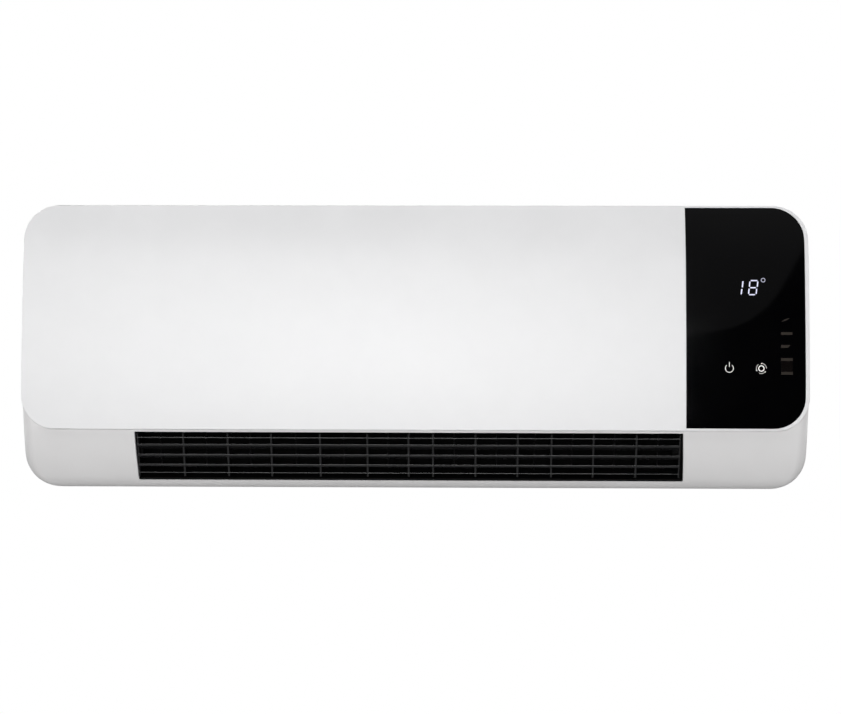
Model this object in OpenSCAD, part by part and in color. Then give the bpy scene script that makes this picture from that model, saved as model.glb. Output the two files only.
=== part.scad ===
// Wall fan heater for a bathroom: a split-style housing with a curved white front, a black touch
// panel on the right, a cross-flow fan, a ceramic heating pack and a swinging outlet louver.
// Frame: +X to the right, +Z up, the front faces -Y. The origin is the centre of the back face,
// on the wall. Sizes are in millimetres. "Depth" is the distance from the wall, so y = -depth.

/* [Body] */
// Width over the housing
body_w = 545; // [540:1:550]
// Height over the housing
body_h = 198; // [197:0.5:199]
// Depth from the wall to the foremost line of the front
body_d = 118; // [117:0.5:119]
// Corner radius of the housing seen from the front
corner_r = 24; // [22:1:26]
// Wall thickness of the mouldings
wall = 2.6; // [2.4:0.1:2.8]
// Depth of the rear cover
rear_d = 38; // [37:0.5:39]
// Step at the parting line between the rear cover and the front housing
seam = 0.4; // [0.2:0.1:0.6]

/* [Front profile] */
// Height of the front panel's lower lip above the origin
lip_z = -56.4; // [-56.4:0.2:-56]
// Radius of the front's long curve, seen from the side
face_r = 1000; // [900:50:1200]
// Height where the curve tightens towards the top edge
crown_z = 60; // [55:1:65]
// Radius of that tighter curve
crown_r = 250; // [220:10:300]
// Thickness of the front panel
panel_t = 2.8; // [2.6:0.1:3.0]
// Radius of the front panel's lower corners
lip_r = 22; // [20:1:24]
// Tilt of the chin where it leaves the lip, in degrees
chin_a0 = 11.5; // [10:0.5:13]
// Tilt of the chin where it turns under, in degrees
chin_a1 = 31; // [30:0.5:32]
// Radius of the chin's curve
chin_r = 106; // [104:1:108]
// Rounding of the chin's side edges
edge_r = 8; // [6:0.5:9]

/* [Control panel] */
// Left edge of the black panel
glass_x = 187.6; // [184:0.2:189]
// White rim left round the black panel
glass_rim = 1.8; // [1.5:0.1:2.2]
// Thickness of the black panel
glass_t = 1.5; // [1.3:0.1:1.6]

/* [Outlet] */
// Left end of the outlet opening
outlet_x0 = -193.7; // [-194:0.1:-193.4]
// Right end of the outlet opening
outlet_x1 = 185.4; // [185:0.1:185.8]
// Top edge of the opening
outlet_z1 = -59.2; // [-59.6:0.1:-59]
// Bottom edge of the opening
outlet_z0 = -91.3; // [-91.5:0.1:-91]

/* [Louver] */
// Depth of the louver's pivot axis
pivot_d = 98.5; // [98:0.1:99]
// Height of the louver's pivot axis
pivot_z = -72.3; // [-72.4:0.1:-72]
// Tilt of the louver's front at rest, in degrees
louver_tilt = 22; // [20:1:24]
// Distance from the axis to the louver's front plane
louver_front = 9; // [8.6:0.1:9.2]
// Half height of the louver's front
louver_half = 16; // [15.6:0.1:16.1]
// Thickness of the full ribs
rib_t = 1.8; // [1.6:0.1:2.0]
// Places of the twelve full ribs along the louver
rib_x = [-160.7, -129.8, -99.5, -65.5, -32.6, -4, 13, 42.6, 71.9, 95.3, 124.4, 154.1];

/* [Fan] */
// Depth of the fan's axis
fan_d = 52; // [51:0.5:53]
// Height of the fan's axis
fan_z = 22; // [21:0.5:23]
// Outer radius of the cross-flow wheel
fan_r = 30; // [29:0.5:30]
// Number of blades on the wheel
fan_blades = 28; // [24:1:32]
// Radius of the fan's shaft
shaft_r = 3; // [3:0.5:4]

/* [Mounting] */
// Distance between the two keyholes
keyhole_span = 320; // [300:10:340]
// Height of the keyholes' round entries
keyhole_z = 52; // [50:1:56]
// Radius of a keyhole's entry
keyhole_r = 5; // [4.5:0.25:5.5]
// Half width of a keyhole's slot
keyslot_r = 2.6; // [2.4:0.1:2.8]
// Radius of the lead's bore in its bush
gland_bore_r = 3.8; // [3.5:0.1:4]

/* [Hidden] */
$fn = 96;
eps = 0.01;
gap = 0.3;              // clearance between neighbours that don't touch

// ---- front profile: points are [y, z] in the side view ----
face_c = [face_r - body_d, lip_z];
crown_a = asin((crown_z - lip_z) / face_r);
crown_p = [face_c[0] - face_r * cos(crown_a), crown_z];
crown_c = crown_p + crown_r * [cos(crown_a), -sin(crown_a)];
chin_p = [panel_t - body_d, lip_z];
chin_c = chin_p + chin_r * [cos(chin_a0), sin(chin_a0)];
foot_p = chin_c - chin_r * [cos(chin_a1), sin(chin_a1)];
foot_r = (foot_p[1] + body_h / 2) / (1 - sin(chin_a1));
foot_c = foot_p + foot_r * [cos(chin_a1), sin(chin_a1)];

// y of the front panel's face, moved in by t
function face_y(z, t) =
    z <= crown_z ? face_c[0] - sqrt(pow(face_r - t, 2) - pow(z - face_c[1], 2))
                 : crown_c[0] - sqrt(pow(crown_r - t, 2) - pow(z - crown_c[1], 2));
// y of the chin below the lip, moved in by t
function arc_y(c, r, z) = c[0] - r * sqrt(max(0, 1 - pow(min(1, abs(c[1] - z) / r), 2)));
function chin_y(z, t) =
    z >= foot_p[1] + t * sin(chin_a1) ? arc_y(chin_c, chin_r - t, z) : arc_y(foot_c, foot_r - t, z);
// y of the front housing's own skin
function skin_y(z, t) =
    z > lip_z + 6 ? face_y(z, t + panel_t) : max(face_y(z, t + panel_t), chin_y(z, t));

// ---- outline rings for the moulded front housing ----
corner_seg = 8;
side_z = [-67, -62, -57, -52, -44, -32, -10, 20, 48, 64];
function smooth(a) = let (b = min(1, max(0, a))) b * b * (3 - 2 * b);
// Right half of the outline from bottom to top: [x, z, nx, nz]
function half_outline(t) =
    let (r = corner_r - t, cx = body_w / 2 - corner_r, cz = body_h / 2 - corner_r)
    concat(
        [for (i = [0:corner_seg]) let (a = -90 + 90 * i / corner_seg)
            [cx + r * cos(a), -cz + r * sin(a), cos(a), sin(a)]],
        [for (z = side_z) [cx + r, z, 1, 0]],
        [for (i = [0:corner_seg]) let (a = 90 * i / corner_seg)
            [cx + r * cos(a), cz + r * sin(a), cos(a), sin(a)]]);
// Edge rounding at a point of the outline: wide on the chin's sides, slight elsewhere
function edge_at(p, t) = max(0.6, 0.9 + (edge_r - 0.9 - t) * pow(abs(p[2]), 1.5) * smooth((-30 - p[1]) / 30));
// One point of the rounded edge; q runs from 0 at the side to 90 at the front
function edge_point(p, t, q, sx) =
    let (e = edge_at(p, t), x = p[0] - p[2] * e * (1 - cos(q)), z = p[1] - p[3] * e * (1 - cos(q)))
    [sx * x, skin_y(z, t) + e * (1 - sin(q)), z];
function reversed(v) = [for (i = [len(v) - 1:-1:0]) v[i]];
function edge_ring(t, q) = let (h = half_outline(t))
    concat([for (p = h) edge_point(p, t, q, 1)], [for (p = reversed(h)) edge_point(p, t, q, -1)]);
function flat_ring(t, y) = let (h = half_outline(t))
    concat([for (p = h) [p[0], y, p[1]]], [for (p = reversed(h)) [-p[0], y, p[1]]]);

// ---- air duct walls: points are [y, z] in the side view ----
duct_t = 1.6;
duct_x0 = -194.2;
duct_x1 = 185.9;
end_t = 2;
foot_w = 11;
foot_y = -10;
fan_c = [-fan_d, fan_z];
pivot_c = [-pivot_d, pivot_z];
louver_r = sqrt(louver_half * louver_half + louver_front * louver_front);
mouth_r = louver_r + 0.9;
mouth_t = 1.2;          // thickness of the mouth's two arcs
cheek_in = 0.35;        // how far the mouth's cheeks stand inside the opening's ends
function polar(c, r, a) = c + r * [cos(a), sin(a)];
// Unit normal to the left of a path at point i
function path_dir(p, i) = let (a = p[max(0, i - 1)], b = p[min(len(p) - 1, i + 1)]) (b - a) / norm(b - a);
function shifted(p, t) = [for (i = [0:len(p) - 1]) let (d = path_dir(p, i)) p[i] + t * [-d[1], d[0]]];
scroll = concat(
    [for (a = [78:-12:-66]) polar(fan_c, fan_r + 4 + (78 - a) * 0.062, a)],
    [[-57, -33.4], [-66, -50], [-74.5, -70], [-79.5, -81], polar(pivot_c, mouth_r + 1, 318)]);
tongue = [polar(fan_c, fan_r + 12, 148), polar(fan_c, fan_r + 5, 158), polar(fan_c, fan_r + 3.5, 176),
    polar(fan_c, fan_r + 4.5, 190), [-92.5, 2], [-99, -12], [-106, -28], [-108.5, -44],
    polar(pivot_c, mouth_r + 1, 124)];

// ---- heating pack: centre and tilt in the side view ----
heat_c = [-81.5, -31];
heat_tilt = 29;
heat_h = 40;
heat_w = 16;
heat_x0 = -188;
heat_x1 = 180;

// ---- right-hand electronics bay and left-hand motor bay ----
bay_x = 226;
board_y = -18;
display_y = -103;
switch_d = 62;
switch_z = -38;
screw_at = [for (sx = [-1, 1], z = [78, 4, -78]) [sx * (z == 4 ? 265 : 256), z]];
peg_at = [[-240, 66], [-240, -24], [-95, 66], [-95, -24], [60, 66], [60, -24], [174, 66], [174, -24]];
motor_x = -222;

// ---------------------------------------------------------------- helpers

// Extrudes an outline drawn as (x, z) between two depths
module deep(d0, d1) { rotate([90, 0, 0]) translate([0, 0, d0]) linear_extrude(d1 - d0) children(); }
// Extrudes an outline drawn as (y, z) between two places along X
module across(x0, x1) { translate([x0, 0, 0]) rotate([90, 0, 90]) linear_extrude(x1 - x0) children(); }
// A rod along X, at a point given as [y, z]
module rod_x(c, r, x0, x1) { translate([x0, c[0], c[1]]) rotate([0, 90, 0]) cylinder(r = r, h = x1 - x0); }
// A rod along Y between two depths, at a point given as [x, z]
module rod_y(p, r, d0, d1) { translate([p[0], -d0, p[1]]) rotate([90, 0, 0]) cylinder(r = r, h = d1 - d0); }
// A block given by its lowest and highest corners
module block(a, b) { translate(a) cube(b - a); }
module round_rect(w, h, r) {
    square([w - 2 * r, h], center = true);
    square([w, h - 2 * r], center = true);
    for (sx = [-1, 1], sy = [-1, 1])
        translate([sx * (w / 2 - r), sy * (h / 2 - r)]) circle(r);
}
module body_outline(g) { round_rect(body_w - 2 * g, body_h - 2 * g, corner_r - g); }
// The front panel's outline, moved in by g
module panel_outline(g) {
    intersection() {
        body_outline(g);
        translate([0, lip_z + g + body_h / 2]) round_rect(body_w - 2 * g, body_h, lip_r - g);
    }
}
// The black panel's outline, moved in by a further g
module glass_outline(g) {
    intersection() {
        panel_outline(glass_rim + g);
        translate([-0.9, 0]) panel_outline(glass_rim + g);
        translate([glass_x + g, -body_h]) square([body_w, 2 * body_h]);
    }
}
// Side view of all that lies behind the front face moved in by t
module face_side(t) {
    far = 2 * body_h;
    intersection() {
        translate(face_c) circle(face_r - t, $fn = 1440);
        polygon([crown_p + far * [-cos(crown_a), sin(crown_a)], crown_p + far * [cos(crown_a), -sin(crown_a)],
            [far, -far], [-far, -far]]);
    }
    intersection() {
        translate(crown_c) circle(crown_r - t, $fn = 720);
        polygon([crown_p + far * [-cos(crown_a), sin(crown_a)], crown_p + far * [cos(crown_a), -sin(crown_a)],
            [far, far], [-far, far]]);
    }
}
// A layer of the front between two distances from its face, over an outline
module face_layer(t0, t1, x0, x1) {
    intersection() {
        across(x0, x1) difference() { face_side(t0); face_side(t1); }
        deep(body_d - 40, body_d + 5) children();
    }
}
// The louver's own frame: local -Y points out of its front, the origin is on the pivot axis
module at_louver() { translate([0, -pivot_d, pivot_z]) rotate([louver_tilt, 0, 0]) children(); }
// The heating pack's own frame: local Z is up the pack, local Y is along the air's way back
module at_heater() { translate([0, heat_c[0], heat_c[1]]) rotate([90 - heat_tilt, 0, 0]) children(); }

// ---------------------------------------------------------------- casing

// Closed moulded shell of the front housing: outer skin, inner skin and the rim that joins them
module housing_shell() {
    quarter = [0, 22.5, 45, 67.5, 90];
    outer = concat([flat_ring(0, -rear_d)], [for (q = quarter) edge_ring(0, q)]);
    inner = concat([flat_ring(wall, -rear_d)], [for (q = quarter) edge_ring(wall, q)]);
    n = len(outer[0]);
    rings = len(outer);
    points = concat([for (r = outer, p = r) p], [for (r = inner, p = r) p]);
    base = rings * n;
    sides = [for (k = [0:rings - 2], i = [0:n - 1]) let (a = k * n + i, b = k * n + (i + 1) % n)
        each [[a, b, b + n], [a, b + n, a + n]]];
    front = (rings - 1) * n;
    caps = [for (i = [0:n / 2 - 2]) let (a = front + i, b = a + 1, c = front + n - 2 - i, d = c + 1)
        each [[a, b, c], [a, c, d]]];
    rim = [for (i = [0:n - 1]) let (j = (i + 1) % n) each [[j, i, base + i], [j, base + i, base + j]]];
    skin = concat(sides, caps);
    inside = [for (f = skin) [f[2] + base, f[1] + base, f[0] + base]];
    polyhedron(points, [for (f = concat(skin, inside, rim)) reversed(f)], convexity = 6);
}

// Opening for the louver, drawn in the side view; it widens inwards
module outlet_cut() {
    across(outlet_x0, outlet_x1)
        polygon([[-130, outlet_z1], [-114.6, outlet_z1], [-112, -58], [-100, -52], [-90, -52], [-90, -93.4],
            [-97.5, -93.4], [-104.2, outlet_z0], [-130, outlet_z0]]);
}

inlet_x0 = -188;
inlet_x1 = 180;
inlet_d0 = 46;
inlet_d1 = 86;
module inlet_cut() {
    block([inlet_x0, -inlet_d1, body_h / 2 - wall - 3], [inlet_x1, -inlet_d0, body_h / 2 + 1]);
}
window = [[203, -30], [265, 54]];
module window_cut() { block([window[0][0], -body_d - 5, window[0][1]], [window[1][0], -108, window[1][1]]); }
switch_cut = [13.4, 19.4];
module switch_hole() {
    translate([body_w / 2, -switch_d, switch_z])
        cube([3 * wall, switch_cut[0], switch_cut[1]], center = true);
}

module front_housing() color("whitesmoke") difference() {
    union() {
        housing_shell();
        for (p = screw_at) rod_y(p, 4, rear_d, -skin_y(p[1], 1.2));
        for (p = stand_at) rod_y(p, 2.2, -display_y, -skin_y(p[1], 1.2));
    }
    outlet_cut();
    inlet_cut();
    block([window[0][0], -body_d - 5, window[0][1]], [window[1][0], -100, window[1][1]]);
    switch_hole();
    for (p = screw_at) rod_y(p, 1.4, rear_d - 1, rear_d + 16);
    for (p = peg_at) rod_y(p, 2.5, 96, body_d);
}

// One keyhole: a round entry with a slot above it, cut through the back wall
module keyhole(x) {
    rod_y([x, keyhole_z], keyhole_r, -1, wall + 3);
    rod_y([x, keyhole_z + 11], keyslot_r, -1, wall + 3);
    deep(-1, wall + 3) translate([x - keyslot_r, keyhole_z]) square([2 * keyslot_r, 11]);
}
gland_p = [236, 19];
module rear_cover() color("whitesmoke") difference() {
    inner = wall + seam;
    union() {
        difference() {
            deep(0, rear_d) body_outline(seam);
            deep(wall, rear_d + 1) body_outline(inner);
        }
        // Tongue that enters the front housing
        difference() {
            deep(rear_d - 8, rear_d + 4) body_outline(wall + 0.15);
            deep(rear_d - 9, rear_d + 5) body_outline(inner + 1.4);
        }
        // Pads round the keyholes
        for (sx = [-1, 1]) deep(wall - 1, wall + 2) translate([sx * keyhole_span / 2, keyhole_z + 5]) {
            translate([0, 7]) circle(7.5);
            translate([-10, -14]) square([20, 18]);
            translate([-7.5, 0]) square([15, 8]);
        }
        // Sleeves for the case screws and posts for the duct and the power board
        for (p = screw_at) rod_y(p, 4.6, wall - 1, rear_d);
        for (p = duct_post) rod_y(p, 4, wall - 1, -foot_y);
        for (p = board_post) rod_y(p, 3, wall - 1, -board_y);
        // Stiffening ribs across the back wall
        for (z = [-84, -56]) block([-190, -wall - 5, z], [182, -wall + 1, z + 1.6]);
        for (x = [-150, -75, 0, 75, 150]) block([x, -wall - 4, -84], [x + 1.6, -wall + 1, -55]);
        // Collar for the lead's bush
        translate([gland_p[0], -gland_p[1], -body_h / 2 + seam]) cylinder(r = 10, h = 7);
    }
    for (sx = [-1, 1]) keyhole(sx * keyhole_span / 2);
    for (p = screw_at) {
        rod_y(p, 1.7, -1, rear_d + 1);
        rod_y(p, 3.5, -1, rear_d - 4);
    }
    for (p = duct_post) rod_y(p, 1.3, wall + 2, 1 - foot_y);
    for (p = board_post) rod_y(p, 1.1, wall + 2, 1 - board_y);
    // Notches in the tongue that let the housing's middle screw posts through
    for (sx = [-1, 1]) translate([sx * 268, -rear_d - 3, 4]) cube([10, 6, 10], center = true);
    translate([gland_p[0], -gland_p[1], -body_h / 2 - 1]) cylinder(r = 7, h = 12);
}
duct_post = [for (x = [duct_x0 - end_t - foot_w / 2, duct_x1 + end_t + foot_w / 2], z = [66, -60]) [x, z]];
board_post = [for (x = [bay_x - 18, bay_x + 18], z = [-60, 54]) [x, z]];

module front_panel() color("white") difference() {
    union() {
        face_layer(0, panel_t, -body_w / 2 - 1, body_w / 2 + 1) panel_outline(0);
        for (p = peg_at) rod_y(p, 2.5, -face_y(p[1], 5.8), -face_y(p[1], 1.5));
    }
    face_layer(-1, glass_t, glass_x - 1, body_w / 2) glass_outline(0);
    window_cut();
}

module control_panel() color([0.03, 0.03, 0.035])
    face_layer(0.05, glass_t, glass_x - 1, body_w / 2) glass_outline(0.12);

grille_bar = 2.2;
grille_rows = 7;
grille_cols = 12;
// The slots of the inlet grille, drawn as (x, y) from above
module inlet_slots() {
    col = (inlet_x1 - inlet_x0 - 6) / grille_cols;
    row = (inlet_d1 - inlet_d0 - 5) / grille_rows;
    for (i = [0:grille_cols - 1], j = [0:grille_rows - 1])
        translate([inlet_x0 + 3 + i * col + grille_bar / 2, -inlet_d1 + 2.5 + j * row + grille_bar / 2])
            square([col - grille_bar, row - grille_bar]);
}
module inlet_grille() color("whitesmoke") {
    top = body_h / 2;
    translate([0, 0, top - wall - 1.6]) linear_extrude(1.6) difference() {
        translate([inlet_x0 - 3, -inlet_d1 - 3]) square([inlet_x1 - inlet_x0 + 6, inlet_d1 - inlet_d0 + 6]);
        inlet_slots();
    }
    translate([0, 0, top - wall]) linear_extrude(wall - 0.3) difference() {
        translate([inlet_x0 + 0.15, -inlet_d1 + 0.15])
            square([inlet_x1 - inlet_x0 - 0.3, inlet_d1 - inlet_d0 - 0.3]);
        inlet_slots();
    }
}

// ---------------------------------------------------------------- air path

// A sheet that follows a path in the side view
module sheet(path, t) { polygon(concat(path, reversed(shifted(path, t)))); }

// The black mouth behind the opening: an upper and a lower arc and two cheeks round the louver
module mouth_sector(r, a0, a1) {
    polygon(concat([pivot_c], [for (i = [0:4]) polar(pivot_c, r, a0 + (a1 - a0) * i / 4)]));
}
// Side view of a cheek: a disc cut off in front, behind the louver's front plane
module mouth_side(r, front) {
    intersection() {
        translate(pivot_c) circle(r);
        translate(pivot_c) rotate(louver_tilt) translate([-front, -30]) square(60);
        translate([-112.2, -120]) square(100);
    }
}
module outlet_frame() color([0.08, 0.08, 0.08]) difference() {
    union() {
        across(outlet_x0 + gap, outlet_x1 - gap) intersection() {
            translate(pivot_c) difference() { circle(mouth_r + mouth_t); circle(mouth_r); }
            union() { mouth_sector(40, 76, 119); mouth_sector(40, 270, 316); }
        }
        for (x = [outlet_x0, outlet_x1 - cheek_in]) across(x, x + cheek_in)
            mouth_side(mouth_r + 0.8, louver_front - 0.6);
        for (x = [duct_x0, outlet_x1]) across(x, x + outlet_x0 - duct_x0)
            mouth_side(mouth_r + 0.8, louver_front - 3.5);
    }
    rod_x(pivot_c, 4, outlet_x0 - 1, outlet_x1 + 1);
}

module duct_scroll() color([0.72, 0.74, 0.76]) across(duct_x0, duct_x1) sheet(scroll, duct_t);
module duct_tongue() color([0.72, 0.74, 0.76]) across(duct_x0, duct_x1) sheet(tongue, -duct_t);

// End plate of the duct with a side wall up to the inlet, two legs back and a foot on each;
// s is -1 on the left and 1 on the right
module duct_end(s) {
    x = s < 0 ? duct_x0 - end_t : duct_x1;
    far = s < 0 ? x - foot_w : x + end_t;
    across(x, x + end_t) {
        polygon(concat(shifted(scroll, duct_t), reversed(shifted(tongue, -duct_t))));
        mouth_side(mouth_r + mouth_t, louver_front - 3.5);
        translate([-88, 38]) square([46, 53]);
        translate([-46, 60]) square([46 + foot_y, 12]);
        translate([-74, -66]) square([74 + foot_y, 12]);
    }
    for (z = [66, -60]) difference() {
        block([far, foot_y - 2, z - 6], [far + foot_w, foot_y, z + 6]);
        rod_y([far + foot_w / 2, z], 1.6, 5, 20);
    }
}
module duct_end_left() color([0.72, 0.74, 0.76]) difference() {
    duct_end(-1);
    rod_x(fan_c, 12, duct_x0 - 5, duct_x0 + 1);
    rod_x(pivot_c, 6.3, duct_x0 - 5, duct_x0 + 1);
    for (p = motor_screw_at) rod_x(p, 1.9, duct_x0 - 5, duct_x0 + 1);
}
module duct_end_right() color([0.72, 0.74, 0.76]) difference() {
    duct_end(1);
    rod_x(fan_c, 8, duct_x1 - 1, duct_x1 + 5);
    rod_x(pivot_c, 5, duct_x1 - 1, duct_x1 + 5);
    for (s = [-1, 1]) rod_x(can_c + [0, s * 17.5], 1.5, duct_x1 - 1, duct_x1 + 5);
    at_heater() for (k = [0:1])
        translate([duct_x1 - 1, -6, row_z(k) + fin_h - 0.5]) cube([5, 12, bar_t + 1]);
}

// ---------------------------------------------------------------- fan

wheel_x0 = -187;
wheel_x1 = 179;
blade_t = 0.9;
blade_r = 9;
disc_t = 2;
// One forward-curved blade, drawn in the side view round the fan's axis
module blade() {
    intersection() {
        translate([fan_r - 3.6, -blade_r + 1.2]) difference() {
            circle(blade_r);
            circle(blade_r - blade_t);
        }
        difference() { circle(fan_r - 0.4); circle(fan_r - 7); }
        translate([0, -2]) square([fan_r + 5, 14]);
    }
}
module fan_wheel() color([0.25, 0.26, 0.28]) difference() {
    union() {
        across(wheel_x0 + 1, wheel_x1 - 1) translate(fan_c) for (i = [0:fan_blades - 1])
            rotate(i * 360 / fan_blades) blade();
        for (x = [wheel_x0, wheel_x1 - disc_t]) rod_x(fan_c, fan_r, x, x + disc_t);
        for (i = [1:5]) let (x = wheel_x0 + (wheel_x1 - wheel_x0) * i / 6) difference() {
            rod_x(fan_c, fan_r, x - disc_t / 2, x + disc_t / 2);
            rod_x(fan_c, fan_r - 7.6, x - disc_t, x + disc_t);
        }
        rod_x(fan_c, 9, wheel_x0 - 4, wheel_x0 + 14);
        rod_x(fan_c, 7, wheel_x1 - 12, wheel_x1 + 1);
    }
    rod_x(fan_c, shaft_r, wheel_x0 - 5, wheel_x0 + 12);
    rod_x(fan_c, shaft_r, wheel_x1 - 10, wheel_x1 + 2);
}
module fan_end_pin() color("silver") rod_x(fan_c, shaft_r, wheel_x1 - 10, 204);

// Shaded-pole motor on the left of the duct
stack_t = 20;
module motor_shaft() color("silver") rod_x(fan_c, shaft_r, motor_x - 30, wheel_x0 + 12);
module motor_rotor() color([0.55, 0.55, 0.57]) difference() {
    union() {
        rod_x(fan_c, 12.2, motor_x - stack_t / 2, motor_x + stack_t / 2);
        for (s = [-1, 1]) rod_x(fan_c, 10.5, motor_x + s * 11.5 - 1.5, motor_x + s * 11.5 + 1.5);
    }
    rod_x(fan_c, shaft_r, motor_x - 20, motor_x + 20);
}
motor_screw_at = [for (sy = [-1, 1], sz = [-1, 1]) fan_c + [sy * 19, sz * 18]];
module motor_laminations() color([0.45, 0.47, 0.5]) across(motor_x - stack_t / 2, motor_x + stack_t / 2)
    translate(fan_c) difference() {
        translate([-24, -52]) square([48, 76]);
        circle(12.6);
        translate([-15, -43]) square([14, 22]);
        translate([1, -43]) square([14, 22]);
        for (p = motor_screw_at) translate(p - fan_c) circle(2);
    }
// The coil is wound on the leg between the two windows
module motor_coil() color([0.75, 0.35, 0.15]) difference() {
    c = fan_c + [0, -32];
    translate([motor_x, c[0], c[1]]) cube([stack_t + 16, 27, 20], center = true);
    translate([motor_x, c[0], c[1]]) cube([stack_t + 0.2, 2.2, 30], center = true);
    for (s = [-1, 1]) translate([motor_x + s * (stack_t / 2 + 8), c[0], c[1]])
        rotate([0, 0, 45]) cube([3, 3, 30], center = true);
}
module motor_bracket(s) {
    x = motor_x + s * (stack_t / 2 + 7);
    difference() {
        union() {
            across(min(x, x + 2 * s), max(x, x + 2 * s)) translate(fan_c) {
                translate([-24, 12]) square([48, 10]);
                translate([-24, -22]) square([48, 8]);
                translate([-10, -20]) square([20, 40]);
            }
            rod_x(fan_c, 8, min(x, x + 6 * s), max(x, x + 6 * s));
            for (p = motor_screw_at) rod_x(p, 4, min(x, x - 7 * s), max(x, x - 7 * s));
        }
        rod_x(fan_c, shaft_r + 0.05, x - 20, x + 20);
        for (p = motor_screw_at) rod_x(p, 2, x - 20, x + 20);
    }
}
module motor_bracket_inner() color([0.78, 0.79, 0.8]) motor_bracket(1);
module motor_bracket_outer() color([0.78, 0.79, 0.8]) motor_bracket(-1);
module motor_screws() color("silver") for (p = motor_screw_at) {
    rod_x(p, 1.9, motor_x - 19, duct_x0);
    rod_x(p, 3.4, motor_x - 21.4, motor_x - 19);
}

module fan_bearing() color([0.7, 0.5, 0.25]) difference() {
    rod_x(fan_c, 6.5, 189.5, 200);
    rod_x(fan_c, shaft_r + 0.05, 188, 202);
}
module bearing_rubber() color([0.12, 0.12, 0.12]) difference() {
    union() {
        rod_x(fan_c, 15, duct_x1 + end_t, duct_x1 + end_t + 4);
        rod_x(fan_c, 11, duct_x1 + end_t + 4, 198);
    }
    rod_x(fan_c, 6.5, 180, 201);
    rod_x(fan_c, 8, 180, 189.5);
}

// ---------------------------------------------------------------- heating pack

bar_t = 3;
fin_rows = 3;
fin_h = (heat_h - 2 * bar_t - 1) / fin_rows;
fin_pitch = 4;
// Zigzag strip of fin sheet between two heights, drawn as (x, z)
module fin_strip(z0, z1) {
    n = floor((heat_x1 - heat_x0 - 24) / fin_pitch);
    top = [for (i = [0:n]) [heat_x0 + 12 + i * fin_pitch, i % 2 == 0 ? z0 + 0.5 : z1]];
    low = [for (i = [n:-1:0]) [heat_x0 + 12 + i * fin_pitch, i % 2 == 0 ? z0 : z1 - 0.5]];
    polygon(concat(top, low));
}
function row_z(k) = -heat_h / 2 + 0.5 + k * (fin_h + bar_t);
module heater_fins() color([0.8, 0.81, 0.82]) at_heater() for (k = [0:fin_rows - 1])
    translate([0, heat_w / 2, 0]) rotate([90, 0, 0]) linear_extrude(heat_w)
        fin_strip(row_z(k), row_z(k) + fin_h);
module heater_bars() color([0.7, 0.71, 0.73]) at_heater() {
    for (k = [0:1]) translate([heat_x0 + 2, -heat_w / 2 + 1, row_z(k) + fin_h])
        cube([heat_x1 - heat_x0 - 4, heat_w - 2, bar_t]);
    for (z = [-heat_h / 2 - 0.7, heat_h / 2 - 0.5]) translate([heat_x0 + 8, -heat_w / 2, z])
        cube([heat_x1 - heat_x0 - 16, heat_w, 1.2]);
}
module heater_frame(x0, x1) difference() {
    translate([x0, -heat_w / 2 - 1.5, -heat_h / 2 - 2]) cube([x1 - x0, heat_w + 3, heat_h + 4]);
    for (k = [0:1]) translate([-300, -heat_w / 2 + 1, row_z(k) + fin_h]) cube([600, heat_w - 2, bar_t]);
}
module heater_frames() color([0.85, 0.82, 0.72]) at_heater() {
    heater_frame(duct_x0, heat_x0 + 8);
    heater_frame(heat_x1 - 8, duct_x1);
}
module heater_terminals() color([0.8, 0.7, 0.4]) at_heater() for (k = [0:1], y = [-4, 2])
    translate([heat_x1 - 2, y, row_z(k) + fin_h + 1]) cube([16, 2.4, 0.8]);

module thermal_cutout() color([0.15, 0.15, 0.16]) at_heater() translate([96, heat_w / 2 + 4, 0]) {
    rotate([90, 0, 0]) cylinder(r = 8, h = 4);
    rotate([-90, 0, 0]) cylinder(r = 6.5, h = 5);
    for (sx = [-1, 1]) translate([sx * 4 - 1.5, 4.9, -0.4]) cube([3, 6, 0.8]);
}
module thermal_fuse() color([0.85, 0.85, 0.85]) at_heater() translate([40, heat_w / 2 + 2, -6]) {
    rotate([0, 90, 0]) cylinder(r = 2, h = 14);
    translate([-12, 0, 0]) rotate([0, 90, 0]) cylinder(r = 0.6, h = 38);
}

// ---------------------------------------------------------------- louver

louver_x0 = -193;
louver_x1 = 184.6;
end_rib_t = 1;
// Of the five blades: height of the front edge above the middle of the front, depth, height of the
// front face, and fall in degrees
blade_at = [[13.7, 9, 0.9, 16], [8.2, 12, 1.5, 36], [0.4, 12, 1.5, 32], [-7.2, 12, 1.5, 28],
    [-13.1, 9, 0.9, 14]];
// Side view of a rib: a straight front and a round back
module rib_side() {
    intersection() {
        circle(louver_r);
        translate([-louver_front, -louver_half]) square([louver_front + 7, 2 * louver_half]);
    }
}
// Side view of a blade: a front bar and a thinner web that falls away behind it
module blade_side(u, depth, high, fall) {
    drop = depth * tan(fall);
    x = -louver_front - 0.4;
    polygon([[x, u + high / 2], [x, u - high / 2], [x + 1.2, u - high / 2 - 0.3],
        [x + depth, u - high / 2 - drop], [x + depth, u + high / 2 - drop]]);
}
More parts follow.
